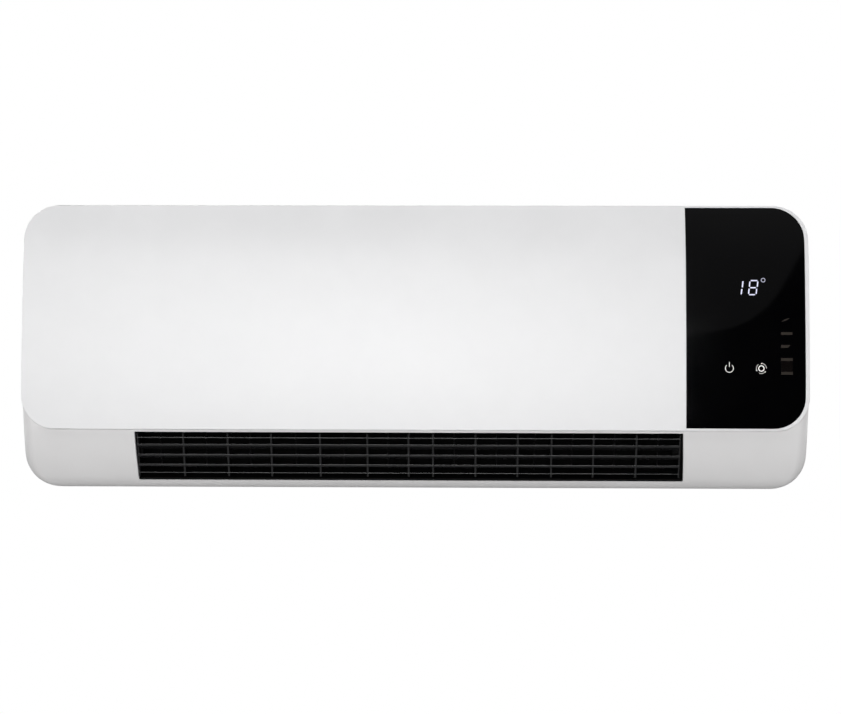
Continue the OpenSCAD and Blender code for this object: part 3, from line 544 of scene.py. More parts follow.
def settle(bm: Mesh, name: str, finish: Finish | Glow, body: str,
           replaces: Iterable[str] = (), sharp: float = 35.0) -> bpy.types.Object:
    """Turns a mesh in millimetres into a dressed piece that rides on its body.

    Args:
        bm: the mesh, used up by the call.
        name: the piece's name.
        finish: its finish.
        body: the body it moves with.
        replaces: nodes of the frame that the piece stands for.
        sharp: angle in degrees above which an edge stays sharp.
    Returns:
        The new object.
    """
    bmesh.ops.scale(bm, vec=(MM, MM, MM), verts=bm.verts)
    piece = as_object(bm, name, SHELF.get(finish))
    piece.data.shade_smooth()
    piece.data.set_sharp_from_angle(angle=math.radians(sharp))
    weighted = piece.modifiers.new("weighted_normals", "WEIGHTED_NORMAL")
    weighted.keep_sharp = True
    weighted.weight = 100
    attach(piece, body)
    if replaces:
        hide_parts(*replaces)
    LOG.info("%s: %d faces on %s", name, len(piece.data.polygons), body)
    return piece


# ---------------------------------------------------------------- the front's side curve

@dataclass
class FrontCurve:
    """Side curve of the front and the chin, in millimetres, with y negative towards the front."""

    body_w: float = 545.0
    body_h: float = 198.0
    body_d: float = 118.0
    corner_r: float = 24.0
    rear_d: float = 38.0
    wall: float = 2.6
    lip_z: float = -56.4
    lip_ease: float = 6.0
    face_r: float = 1000.0
    crown_z: float = 60.0
    crown_r: float = 250.0
    panel_t: float = 2.8
    lip_r: float = 23.2
    chin_lean: float = 11.5
    chin_under: float = 31.0
    chin_r: float = 106.0
    face_c: Pair = field(init=False)
    crown_c: Pair = field(init=False)
    chin_c: Pair = field(init=False)
    foot_c: Pair = field(init=False)
    foot_r: float = field(init=False)
    foot_z: float = field(init=False)

    def __post_init__(self) -> None:
        """Works out the arcs' centres as (y, z)."""
        self.face_c = (self.face_r - self.body_d, self.lip_z)
        crown = math.asin((self.crown_z - self.lip_z) / self.face_r)
        join = self.face_c[0] - self.face_r * math.cos(crown)
        self.crown_c = (join + self.crown_r * math.cos(crown),
                        self.crown_z - self.crown_r * math.sin(crown))
        lean, under = math.radians(self.chin_lean), math.radians(self.chin_under)
        self.chin_c = (self.panel_t - self.body_d + self.chin_r * math.cos(lean),
                       self.lip_z + self.chin_r * math.sin(lean))
        foot = (self.chin_c[0] - self.chin_r * math.cos(under),
                self.chin_c[1] - self.chin_r * math.sin(under))
        self.foot_z = foot[1]
        self.foot_r = (foot[1] + self.body_h / 2) / (1 - math.sin(under))
        self.foot_c = (foot[0] + self.foot_r * math.cos(under),
                       foot[1] + self.foot_r * math.sin(under))

    def face_y(self, z: float, inset: float = 0.0) -> float:
        """Gives the depth of the front plate's face.

        Args:
            z: the height.
            inset: how far inside the face.
        Returns:
            The y at that height.
        """
        centre, radius = ((self.face_c, self.face_r) if z <= self.crown_z
                          else (self.crown_c, self.crown_r))
        return centre[0] - math.sqrt((radius - inset) ** 2 - (z - centre[1]) ** 2)

    def chin_y(self, z: float, inset: float = 0.0) -> float:
        """Gives the depth of the chin's skin, held at the ends of its arcs.

        Args:
            z: the height.
            inset: how far inside the skin.
        Returns:
            The y at that height.
        """
        centre, radius = ((self.chin_c, self.chin_r - inset) if z >= self.foot_z
                          else (self.foot_c, self.foot_r - inset))
        part = min(1.0, abs(centre[1] - z) / radius)
        return centre[0] - radius * math.sqrt(max(0.0, 1 - part ** 2))

    def skin_y(self, z: float) -> float:
        """Gives the depth of the front housing's outside: behind the plate, then the chin.

        Args:
            z: the height.
        Returns:
            The y at that height.
        """
        behind = self.face_y(z, self.panel_t)
        return behind if z > self.lip_z + self.lip_ease else max(behind, self.chin_y(z))

    def corner_heights(self, top_r: float, low_r: float, low: float, steps: int) -> list[float]:
        """Lists the heights of the corner arcs' points, where a strip's ends must fall.

        Args:
            top_r: radius of the upper corners.
            low_r: radius of the lower corners.
            low: the plate's lower edge.
            steps: segments of each corner.
        Returns:
            The heights, the lower corners' first.
        """
        top = self.body_h / 2
        turn = [math.radians(90 * i / steps) for i in range(1, steps + 1)]
        return ([low + low_r * (1 - math.cos(a)) for a in turn]
                + [top - top_r * (1 - math.cos(a)) for a in turn])

    def outward(self, x: float, z: float) -> Pair:
        """Gives the outline's outward direction at one of its points.

        Args:
            x: the point's place along X.
            z: its height.
        Returns:
            The direction as (x, z), or zeros inside the outline.
        """
        cx, cz = self.body_w / 2 - self.corner_r, self.body_h / 2 - self.corner_r
        dx = math.copysign(max(0.0, abs(x) - cx), x)
        dz = math.copysign(max(0.0, abs(z) - cz), z)
        long = math.hypot(dx, dz)
        return (dx / long, dz / long) if long else (0.0, 0.0)


# ---------------------------------------------------------------- sub-assemblies

@dataclass
class FrontHousing:
    """White moulded housing: chin with the outlet opening, sides, top with the inlet opening.

    outlet_lean shifts the outlet's corners along X: left low, left high, right low, right high.
    rim_reach is how near the outlet's upper and lower edge a point of its inner rim lies.
    """

    curve: FrontCurve
    outlet: Box = (*OUTLET_X, -93.1, -59.2)
    outlet_lean: Box = (0.6, -0.5, 1.9, 0.5)
    inlet: Box = (-188.0, 180.0, -86.0, -46.0)
    switch: Box = (-68.7, -55.3, -47.7, -28.3)
    chin_zone: Box = (-200.0, 200.0, -97.0, -50.0)
    switch_zone: Pair = (-60.0, -10.0)
    chin_front: float = -80.0
    top_front: float = -95.0
    plate_front: float = -100.0
    skin_margin: float = 0.5
    levels: tuple[float, ...] = (-72, -69, -66, -63, -60, -57, -54, -50.4, -46, -38, -30, -20, 0,
                                 20, 40, 54, 60, 67, 73)
    steps: int = 14
    fillet_rings: int = 6
    edge_slight: float = 0.9
    edge_wide: float = 8.0
    edge_from: float = -30.0
    edge_over: float = 30.0
    lip_round: float = 0.6
    rim_up: float = 1.1
    rim_down: float = 1.0
    rim_reach: Pair = (1.5, 2.5)
    rim_depth: Pair = (-115.0, -95.0)

    def edge_radius(self, z: float, side: float) -> float:
        """Gives the front edge's radius: wide on the chin's sides and slight elsewhere.

        Args:
            z: the height.
            side: how far the edge faces sideways, -1 to 1.
        Returns:
            The radius.
        """
        part = min(1.0, max(0.0, (self.edge_from - z) / self.edge_over))
        ease = part * part * (3 - 2 * part)
        return self.edge_slight + (self.edge_wide - self.edge_slight) * abs(side) ** 1.5 * ease

    def ring(self, bm: Mesh, edges: list, home: object, turn: float | None) -> list:
        """Grows the skin by one ring and puts it in its place.

        Args:
            bm: the mesh.
            edges: the last ring's edges.
            home: the layer that keeps each point's place on the outline.
            turn: angle round the front edge, 0 at the side and 90 at the front; None at the back.
        Returns:
            The new ring's edges.
        """
        if turn is None:
            for v in {v for e in edges for v in e.verts}:
                v.co = (v[home].x, -self.curve.rear_d, v[home].z)
            return edges
        made = bmesh.ops.extrude_edge_only(bm, edges=edges)["geom"]
        verts = set(new_verts(made))
        q = math.radians(turn)
        for v in verts:
            x, _, z = v[home]
            nx, nz = self.curve.outward(x, z)
            radius = self.edge_radius(z, nx)
            x, z = x - nx * radius * (1 - math.cos(q)), z - nz * radius * (1 - math.cos(q))
            v.co = (x, self.curve.skin_y(z) + radius * (1 - math.sin(q)), z)
        return [g for g in made if isinstance(g, bmesh.types.BMEdge) and verts.issuperset(g.verts)]

    def skin(self) -> Mesh:
        """Makes the outside as one open skin with smooth edges.

        Returns:
            The new mesh, without a back.
        """
        c = self.curve
        bm = rounded_plate(c.body_w, c.body_h, c.corner_r, c.corner_r, (0, 0), self.steps)
        cut(bm, 2, self.levels)
        inner = [e for e in bm.edges if not e.is_boundary]
        bmesh.ops.delete(bm, geom=bm.faces[:], context="FACES_ONLY")
        bmesh.ops.delete(bm, geom=inner, context="EDGES")
        bm.edges.layers.int.new("lip")
        home = bm.verts.layers.float_vector.new("home")
        for v in bm.verts:
            v[home] = v.co
        ring = self.ring(bm, bm.edges[:], home, None)
        for i in range(self.fillet_rings + 1):
            ring = self.ring(bm, ring, home, 90 * i / self.fillet_rings)
        sides = [e for e in ring if abs(e.verts[0].co.x + e.verts[1].co.x) > 1]
        bmesh.ops.bridge_loops(bm, edges=sides)
        bmesh.ops.recalc_face_normals(bm, faces=bm.faces)
        front = max(bm.faces, key=lambda f: f.calc_area())
        if front.normal.y > 0:
            bmesh.ops.reverse_faces(bm, faces=bm.faces)
        return bm

    def openings(self, bm: Mesh) -> list:
        """Cuts the four openings in the skin.

        Args:
            bm: the skin.
        Returns:
            The outlet's rim edges.
        """
        x0, x1, z0, z1 = self.outlet
        left, right, low, high = self.chin_zone
        rim = open_up(bm, 0, 2, self.outlet, lambda p: left < p.x < right and low < p.z < high
                      and p.y < self.chin_front)
        for v in {v for e in rim for v in e.verts}:
            if min(abs(v.co.x - x0), abs(v.co.x - x1)) < 0.01:
                foot, head = self.outlet_lean[:2] if v.co.x < 0 else self.outlet_lean[2:]
                v.co.x += foot + (head - foot) * (v.co.z - z0) / (z1 - z0)
        top = self.curve.body_h / 2 - self.skin_margin
        open_up(bm, 0, 1, self.inlet, lambda p: p.z > top and p.y > self.top_front)
        open_up(bm, 0, 2, WINDOW,
                lambda p: WINDOW[2] < p.z < WINDOW[3] and p.y < self.plate_front)
        side = self.curve.body_w / 2 - self.skin_margin
        under, over = self.switch_zone
        open_up(bm, 1, 2, self.switch, lambda p: p.x > side and under < p.z < over)
        return [e for e in rim if e.is_valid]

    def widen(self, bm: Mesh) -> None:
        """Slides the outlet's inner rim along the inner skin, so that it widens inwards.

        Args:
            bm: the housing with its wall's thickness.
        """
        x0, x1, z0, z1 = self.outlet
        (above, below), (near, far), c = self.rim_reach, self.rim_depth, self.curve
        for v in bm.verts:
            x, y, z = v.co
            if not (x0 - below < x < x1 + below and y > c.skin_y(z) + 1 and near < y < far):
                continue
            if abs(z - z1) < above:
                v.co.z = z1 + self.rim_up
            elif abs(z - z0) < below:
                v.co.z = z0 - self.rim_down
            else:
                continue
            v.co.y = c.chin_y(v.co.z, c.wall)

    def build(self) -> None:
        """Builds the housing from its skin and dresses it."""
        bm = self.skin()
        rim = self.openings(bm)
        lip = bm.edges.layers.int["lip"]
        for e in rim:
            e[lip] = 1
        bmesh.ops.solidify(bm, geom=bm.faces[:], thickness=self.curve.wall)
        self.widen(bm)
        outer = [e for e in bm.edges if e[lip] and e.is_manifold
                 and all(abs(v.co.y - self.curve.skin_y(v.co.z)) < 0.02 for v in e.verts)]
        soften(bm, outer, self.lip_round, 3)
        bmesh.ops.remove_doubles(bm, verts=bm.verts, dist=SAME_POINT)
        settle(bm, "housing_moulding", HOUSING_ABS, "casing", ["front_housing"])


@dataclass
class FrontPlate:
    """Curved white front plate with the recess for the black panel, and the black panel in it.

    Zones mark the recess (1) and the window (2) on the plate's face; levels mark how deep a
    point lies: 0 on the face, 1 on the recess's floor, 2 on the back. strip_ends and glass_ends
    are the lengths without even strips, at the lower and the upper edge.
    """

    curve: FrontCurve
    glass_x: float = 187.6
    glass_t: float = 1.5
    glass_gap: float = 0.12
    glass_set_back: float = 0.05
    glass_steps: int = 20
    glass_strip: float = 2.5
    glass_round: float = 0.2
    lip_drop: float = 0.8
    rim: float = 1.4
    rim_shift: float = 1.3
    rim_lift: float = 0.3
    columns: tuple[float, ...] = (-230, -120, 0, 120)
    strip: float = 6.0
    strip_ends: Pair = (24.0, 26.0)
    glass_ends: Pair = (21.0, 23.0)
    window_reach: float = 268.0
    steps: int = 12
    edge_round: float = 0.4
    inner_round: float = 0.15
    sharp: float = 40.0

    @property
    def low(self) -> float:
        """The plate's lower edge."""
        return self.curve.lip_z - self.lip_drop

    @staticmethod
    def raise_level(bm: Mesh, faces: list, level: object, value: int) -> None:
        """Extrudes faces and marks the new vertices with a level."""
        for v in new_verts(bmesh.ops.extrude_face_region(bm, geom=faces)["geom"]):
            v[level] = value

    def blank(self) -> Mesh:
        """Makes the plate's flat face in strips, with its zones marked.

        Returns:
            The new mesh.
        """
        c, low = self.curve, self.low
        bm = rounded_plate(c.body_w, c.body_h / 2 - low, c.corner_r, c.lip_r,
                           (0, low + (c.body_h / 2 - low) / 2), self.steps)
        x0, x1, z0, z1 = WINDOW
        bottom, top = low + self.strip_ends[0], c.body_h / 2 - self.strip_ends[1]
        count = int((top - bottom) / self.strip)
        heights = c.corner_heights(c.corner_r, c.lip_r, low, self.steps)
        middle = [bottom + (top - bottom) * i / count for i in range(count + 1)]
        cut(bm, 2, sorted([*heights, *middle, z0, z1]))
        start = self.glass_x - self.rim
        cut(bm, 0, [*self.columns, start])
        zone = bm.faces.layers.int.new("zone")
        bm.verts.layers.int.new("level")
        floor = [f for f in bm.faces if f.calc_center_median().x > start]
        bmesh.ops.inset_region(bm, faces=floor, thickness=self.rim, use_even_offset=True,
                               use_boundary=True)
        floor = [f for f in floor if f.is_valid]
        verts = {v for f in floor for v in f.verts}
        turn = c.body_w / 2 - c.corner_r - 0.01
        for v in verts:
            if v.co.x > turn:
                v.co.x -= self.rim_shift
        for v in verts:
            if v.co.z < low + c.lip_r:
                v.co.z += self.rim_lift
        for f in floor:
            f[zone] = 1
        cut(bm, 0, [x0, x1], lambda p: self.glass_x < p.x < self.window_reach and z0 < p.z < z1)
        for f in bm.faces:
            p = f.calc_center_median()
            if x0 < p.x < x1 and z0 < p.z < z1:
                f[zone] = 2
        return bm

    def plate(self) -> None:
        """Gives the blank its back, recess, window and curve, and dresses it."""
        bm = self.blank()
        zone = bm.faces.layers.int["zone"]
        level = bm.verts.layers.int["level"]
        for v in bm.verts:
            v[level] = 2
        self.raise_level(bm, bm.faces[:], level, 0)
        sunk = [f for f in bm.faces if f[zone] and all(v[level] == 0 for v in f.verts)]
        self.raise_level(bm, sunk, level, 1)
        bmesh.ops.delete(bm, geom=sunk, context="FACES")
        holes = [f for f in bm.faces if f[zone] == 2 and len({v[level] for v in f.verts}) == 1]
        bmesh.ops.delete(bm, geom=holes, context="FACES")
        bmesh.ops.bridge_loops(bm, edges=[e for e in bm.edges if e.is_boundary])
        insets = (0.0, self.glass_t, self.curve.panel_t)
        for v in bm.verts:
            v.co.y = self.curve.face_y(v.co.z, insets[v[level]])
        point_outwards(bm)
        edges = sharp_edges(bm, lambda v: v[level] == 0, self.sharp)
        outer = [e for e in edges if any(v[level] == 2 for f in e.link_faces for v in f.verts)]
        inner = [e for e in edges if e not in set(outer)]
        soften(bm, outer, self.edge_round, 4)
        soften(bm, [e for e in inner if e.is_valid], self.inner_round)
        settle(bm, "front_plate", FRONT_ABS, "casing", ["front_panel"])

    def glass(self) -> None:
        """Builds the black panel that lies in the recess and dresses it."""
        c = self.curve
        inset = self.rim + self.glass_gap
        x0, x1 = self.glass_x + self.glass_gap, c.body_w / 2 - inset - self.rim_shift
        z0, z1 = self.low + inset + self.rim_lift, c.body_h / 2 - inset
        bm = bmesh.new()
        flat_panel(bm, ((x0 + x1) / 2, (z0 + z1) / 2), (x1 - x0, z1 - z0))
        right = sorted((v for v in bm.verts if v.co.x > x0 + 1), key=lambda v: v.co.z)
        for v, radius in ((right[1], c.corner_r - inset), (right[0], c.lip_r - inset)):
            soften(bm, [v], radius, self.glass_steps, "VERTICES")
        corner = sorted({round(v.co.z, 5) for v in bm.verts})[1:-1]
        bottom, top = z0 + self.glass_ends[0], z1 - self.glass_ends[1]
        count = int((top - bottom) / self.glass_strip) + 1
        middle = [bottom + self.glass_strip * i for i in range(count)]
        cut(bm, 2, sorted([*corner, *middle]))
        level = bm.verts.layers.int.new("level")
        for v in bm.verts:
            v[level] = 1
        self.raise_level(bm, bm.faces[:], level, 0)
        for v in bm.verts:
            v.co.y = c.face_y(v.co.z, self.glass_t if v[level] else self.glass_set_back)
        point_outwards(bm)
        soften(bm, sharp_edges(bm, lambda v: v[level] == 0, self.sharp), self.glass_round, 3)
        settle(bm, "touch_panel_acrylic", BLACK_ACRYLIC, "casing",
               ["control_panel"])

    def build(self) -> None:
        """Builds both parts."""
        self.plate()
        self.glass()


@dataclass
class PanelMarks:
    """Lit digits, lit touch symbols and dark marks of the black panel, as (x, z) on its face."""

    curve: FrontCurve
    glass_set_back: float = 0.05
    proud: float = 0.02
    thick: float = 0.12
    digit_w: float = 0.86
    cross_w: float = 0.817
    one: tuple[tuple[Pair, Pair], ...] = (
        ((226.97, 46.4), (226.45, 42.1)), ((226.16, 41.0), (225.64, 37.3)))
    eight: tuple[tuple[Pair, Pair], ...] = (
        ((232.3, 46.8), (236.9, 46.8)), ((231.9, 41.87), (235.8, 41.88)),
        ((231.1, 37.05), (235.2, 37.05)), ((231.75, 46.2), (231.35, 42.5)),
        ((231.15, 41.2), (230.75, 37.6)), ((237.2, 46.2), (236.75, 42.5)),
        ((236.35, 41.2), (235.95, 37.6)))
    power_at: Pair = (217.22, -13.8)
    mode_at: Pair = (239.2, -13.88)

    def bar(self, bm: Mesh, a: Pair, b: Pair, width: float, round_r: float = 0.25) -> None:
        """Adds one straight stroke.

        Args:
            bm: the mesh that takes it.
            a: its start.
            b: its end.
            width: its width.
            round_r: radius of its corners.
        """
        way = Vector(b) - Vector(a)
        made = flat_panel(bm, ((a[0] + b[0]) / 2, (a[1] + b[1]) / 2), (way.length, width),
                          math.atan2(way.y, way.x))
        soften(bm, made, min(round_r, width * 0.45), 3, "VERTICES")

    def arc(self, bm: Mesh, centre: Pair, radius: float, width: float, start: float = 0.0,
            sweep: float = 360.0) -> None:
        """Adds one curved stroke: a short radial edge spun about the centre.

        Args:
            bm: the mesh that takes it.
            centre: middle of the turn.
            radius: the stroke's middle line.
            width: the stroke's width.
            start: where it starts, in degrees.
            sweep: how far it goes, in degrees.
        """
        a = math.radians(start)
        ends = [bm.verts.new((centre[0] + (radius + s * width / 2) * math.cos(a), 0,
                              centre[1] + (radius + s * width / 2) * math.sin(a)))
                for s in (-1, 1)]
        edge = bmesh.ops.contextual_create(bm, geom=ends)["edges"]
        bmesh.ops.spin(bm, geom=[*ends, *edge], cent=(centre[0], 0, centre[1]), axis=(0, -1, 0),
                       angle=math.radians(sweep), steps=max(6, int(abs(sweep) / 12)),
                       use_merge=abs(sweep) >= 360, use_duplicate=False)

    def wedge(self, bm: Mesh, points: Outline) -> None:
        """Adds a small flat shape with the given corners."""
        bmesh.ops.contextual_create(bm, geom=[bm.verts.new((x, 0, z)) for x, z in points])

    def lay(self, bm: Mesh, name: str, finish: Finish | Glow) -> None:
        """Gives the strokes their thickness, lays them on the panel's face and dresses them.

        Args:
            bm: the flat strokes.
            name: the piece's name.
            finish: its finish.
        """
        bmesh.ops.remove_doubles(bm, verts=bm.verts, dist=SAME_POINT)
        bm.normal_update()
        bmesh.ops.reverse_faces(bm, faces=[f for f in bm.faces if f.normal.y > 0])
        back = set(bm.verts)
        bmesh.ops.extrude_face_region(bm, geom=bm.faces[:])
        for v in bm.verts:
            face = self.curve.face_y(v.co.z, self.glass_set_back)
            v.co.y = face - self.proud + (self.thick if v in back else 0.0)
        point_outwards(bm)
        settle(bm, name, finish, "casing")

    def digits(self) -> None:
        """Builds the temperature reading: a 1, an 8 and the degree ring, all leaning a little."""
        bm = bmesh.new()
        for a, b in self.one:
            self.bar(bm, a, b, self.digit_w)
        for a, b in self.eight:
            self.bar(bm, a, b, self.cross_w)
        self.arc(bm, (240.8, 47.15), 1.32, 0.28)
        self.lay(bm, "display_digits", WHITE_GLOW)

    def power_symbol(self) -> None:
        """Builds the power symbol: a ring with a gap at the top and a bar in the gap."""
        bm = bmesh.new()
        x, z = self.power_at
        self.arc(bm, (x, z), 2.78, 0.3, 130, 280)
        self.bar(bm, (x, z + 4.4), (x, z + 0.9), 0.3)
        self.lay(bm, "key_power", KEY_GLOW)

    def mode_symbol(self) -> None:
        """Builds the mode symbol: a ring inside three thin arcs that chase each other."""
        bm = bmesh.new()
        cx, cz = self.mode_at
        self.arc(bm, (cx, cz), 1.86, 0.46)
        for start, sweep in ((92, -86), (-36, -78), (-153, -76)):
            self.arc(bm, (cx, cz), 3.5, 0.18, start - 6, sweep)
            tip, base = math.radians(start + 4), math.radians(start - 9)
            self.wedge(bm, [(cx + r * math.cos(a), cz + r * math.sin(a))
                            for r, a in ((3.9, base), (3.5, tip), (3.1, base))])
        self.lay(bm, "key_mode", KEY_GLOW)

    def dark_marks(self) -> None:
        """Builds the column's five unlit marks on the right and the faint window behind them."""
        bm = bmesh.new()
        self.wedge(bm, [(253.0, 18.35), (255.6, 18.9), (258.7, 20.7), (258.3, 20.85),
                        (255.9, 20.2), (253.9, 19.1)])
        self.wedge(bm, [(252.8, 2.3), (252.8, 0.4), (257.5, 0.4), (259.3, 2.3)])
        for x0, z1, x1, z0 in ((252.8, 11.2, 260.6, 9.35), (252.7, -6.65, 260.8, -8.6),
                               (252.8, -16.2, 260.8, -18.1)):
            self.bar(bm, (x0, (z0 + z1) / 2), (x1, (z0 + z1) / 2), z1 - z0, 0.12)
        self.lay(bm, "dark_marks", DIM_PRINT)
        bm = bmesh.new()
        self.bar(bm, (252.8, -12.4), (260.7, -12.4), 7.3, 0.1)
        self.lay(bm, "dark_window", FAINT_PRINT)

    def build(self) -> None:
        """Builds all the marks."""
        self.digits()
        self.power_symbol()
        self.mode_symbol()
        self.dark_marks()


@dataclass
class Louver:
    """Black louver grid: five blades, ribs and thin webs between round-backed end frames.

    Side views are in the grid's own frame, with y along its depth and the pivot axis at (0, 0).
    Each blade has its height, its depth, and its front bar's height and drop. Each boss has its
    radius and its two ends, measured from the grid's end on its side.
    """

    front: float = 9.0
    half: float = 16.0
    rib_back: float = 7.0
    rib_steps: int = 8
    span: Pair = (-193.0, 184.6)
    rib_t: float = 1.4
    knee: float = 3.6
    bar_proud: float = 0.4
    end_rib_t: float = 1.0
    web_half: float = 0.5
    wide_cell: float = 20.0
    rib_x: tuple[float, ...] = (-160.7, -129.8, -99.5, -65.5, -32.6, -4, 13, 42.6, 71.9, 95.3,
                                124.4, 154.1)
    blades: tuple[Box, ...] = ((13.7, 9, 0.8, 1.2), (8.2, 12, 1.6, 3.8), (0.45, 12, 1.6, 3.3),
                               (-7.2, 12, 1.6, 2.8), (-13.1, 9, 0.65, 1.2))
    left_bosses: tuple[tuple[float, float, float], ...] = ((4.0, 0.0, 3.0), (2.6, -4.6, 1.0))
    right_boss: tuple[float, float, float] = (4.0, -5.0, 0.0)
    edge_round: float = 0.25
    round_over: float = 50.0
    sharp: float = 20.0

    def rib_outline(self) -> Outline:
        """Draws the side view of a rib: a straight front and a round back.

        Returns:
            The outline.
        """
        radius = math.hypot(self.half, self.front)
        first = math.atan2(self.half, -self.front)
        step = (math.acos(self.rib_back / radius) - first) / self.rib_steps
        upper = [first + step * i for i in range(self.rib_steps + 1)]
        lower = [-a for a in reversed(upper)]
        return [(radius * math.cos(a), radius * math.sin(a)) for a in upper + lower]

    def blade_outline(self, u: float, depth: float, high: float, drop: float) -> Outline:
        """Draws a blade: a front bar, a web that drops behind it and goes on level at rest.

        Args:
            u: the blade's height.
            depth: its depth.
            high: its front bar's height.
            drop: how far it has dropped at the knee.
        Returns:
            The outline.
        """
        x, h = -self.front - self.bar_proud, high / 2
        end = drop + (depth - self.knee) * math.tan(math.radians(REST_TILT))
        return [(x, u + h), (x, u - h), (x + self.knee, u - h - drop), (x + depth, u - h - end),
                (x + depth, u + h - end), (x + self.knee, u + h - drop)]

    def web_outlines(self) -> list[Outline]:
        """Draws the side views of a thin web, one between each two blades.

        Returns:
            The outlines.
        """
        return [[(-self.front + 0.4, a), (-self.front + 0.8, a - 1.5), (-self.front + 4, b + 2),
                 (-self.front + 7, b - 1), (-self.front + 7, a)]
                for (a, *_), (b, *_) in zip(self.blades, self.blades[1:])]

    def web_places(self) -> list[float]:
        """Lists the places of the thin webs: the middle of each wide cell."""
        x = [self.span[0], *self.rib_x, self.span[1]]
        return [(a + b) / 2 for a, b in zip(x, x[1:]) if b - a > self.wide_cell]

    def grid(self) -> Mesh:
        """Makes the grid in its own frame with its front edges rounded.

        Returns:
            The new mesh.
        """
        bm = bmesh.new()
        x0, x1 = self.span
        for x in self.rib_x:
            prism(bm, self.rib_outline(), x - self.rib_t / 2, x + self.rib_t / 2)
        for x in (x0, x1 - self.end_rib_t):
            prism(bm, self.rib_outline(), x, x + self.end_rib_t)
        for x in self.web_places():
            for side in self.web_outlines():
                prism(bm, side, x - self.web_half, x + self.web_half)
        for blade in self.blades:
            prism(bm, self.blade_outline(*blade), x0, x1)
        bmesh.ops.recalc_face_normals(bm, faces=bm.faces)
        edges = sharp_edges(bm, lambda v: v.co.y < 1 - self.front, self.round_over)
        soften(bm, edges, self.edge_round)
        return bm

    def bosses(self) -> Mesh:
        """Makes the round bosses on the pivot axis; they are dressed in a darker, duller copy of
        the louver's black plastic, a painted shade so that none shines in the outlet.

        Returns:
            The new mesh.
        """
        bm = bmesh.new()
        left, right = self.span
        for x, radius, a, b in (*((left, *boss) for boss in self.left_bosses),
                                (right, *self.right_boss)):
            start, end = x + a, x + b
            place = (Matrix.Translation(((start + end) / 2, 0, 0))
                     @ Matrix.Rotation(QUARTER, 4, "Y"))
            bmesh.ops.create_cone(bm, cap_ends=True, segments=40, radius1=radius, radius2=radius,
                                  depth=end - start, matrix=place)
        return bm

    def build(self) -> None:
        """Tilts the grid and its bosses to their place at rest and dresses them."""
        turn = (Matrix.Translation((0, *PIVOT))
                @ Matrix.Rotation(math.radians(REST_TILT), 4, "X"))
        grid, bosses = self.grid(), self.bosses()
        for bm in (grid, bosses):
            bmesh.ops.transform(bm, matrix=turn, verts=bm.verts)
        bmesh.ops.recalc_face_normals(grid, faces=grid.faces)
        settle(grid, "louver_grille", LOUVER_ABS, "louver", ["louver_grid"],
               self.sharp)
        # The bosses take the near-black polyester as painted shade: darker than the louver's own
        # black plastic.
        settle(bosses, "louver_bosses", BLACK_PBT_PAINTED_SHADE, "louver")


@dataclass
class OutletMouth:
    """Black mouth round the louver: an upper and a lower arc and two cheeks at each end.

    The arcs' angles are in degrees about the pivot axis. A cheek's front is its distance ahead
    of the pivot, at the louver's tilt.
    """

    radius: float = 19.258
    thick: float = 1.2
    upper_arc: Pair = (76, 119)
    lower_arc: Pair = (268, 316)
    arc_steps: int = 14
    gap: float = 0.3
    low_extra: Pair = (0.6, 2.0)
    cheek_in: float = 0.35
    cheek_in_front: float = 8.4
    cheek_out: Pair = (1.0, 2.6)
    cheek_out_front: float = 5.5
    cheek_over: float = 0.8
    cheek_points: int = 72
    plate_y: float = -112.2

    def arc(self, bm: Mesh, angles: Pair, x0: float, x1: float) -> None:
        """Adds one curved wall: a flat strip spun about the pivot axis.

        Args:
            bm: the mesh that takes it.
            angles: where it starts and ends.
            x0: its left end.
            x1: its right end.
        """
        a = math.radians(angles[0])
        outer = self.radius + self.thick
        verts = [bm.verts.new((x, PIVOT[0] + r * math.cos(a), PIVOT[1] + r * math.sin(a)))
                 for x, r in ((x0, self.radius), (x1, self.radius), (x1, outer), (x0, outer))]
        face = bmesh.ops.contextual_create(bm, geom=verts)["faces"]
        edges = dict.fromkeys(e for f in face for e in f.edges)
        bmesh.ops.spin(bm, geom=[*verts, *edges, *face], cent=(0, *PIVOT), axis=(1, 0, 0),
                       angle=math.radians(angles[1] - angles[0]), steps=self.arc_steps,
                       use_merge=False, use_duplicate=False)

    def cheek_outline(self, front: float) -> Outline:
        """Draws the side view of a cheek: a disc cut off ahead of the pivot.

        Args:
            front: distance of the cut from the pivot.
        Returns:
            The outline.
        """
        radius = self.radius + self.cheek_over
        lean = math.radians(REST_TILT)
        points = []
        for i in range(self.cheek_points):
            a = math.radians(360 / self.cheek_points * i)
            y, z = radius * math.cos(a), radius * math.sin(a)
            back = max(0.0, -front - y * math.cos(lean) - z * math.sin(lean))
            y, z = y + back * math.cos(lean), z + back * math.sin(lean)
            points.append((max(PIVOT[0] + y, self.plate_y), PIVOT[1] + z))
        return points

    def build(self) -> None:
        """Builds the mouth and dresses it."""
        bm = bmesh.new()
        left, right = OUTLET_X
        self.arc(bm, self.upper_arc, left + self.gap, right - self.gap)
        self.arc(bm, self.lower_arc, left - self.low_extra[0], right + self.low_extra[1])
        for x in (left, right - self.cheek_in):
            prism(bm, self.cheek_outline(self.cheek_in_front), x, x + self.cheek_in)
        for x0, x1 in ((left - self.cheek_out[0], left), (right, right + self.cheek_out[1])):
            prism(bm, self.cheek_outline(self.cheek_out_front), x0, x1)
        point_outwards(bm)
        # The mouth's near-black colour is partly painted shade of the deep outlet.
        settle(bm, "outlet_mouth", BLACK_PBT_PAINTED_SHADE, "casing", ["outlet_frame"])


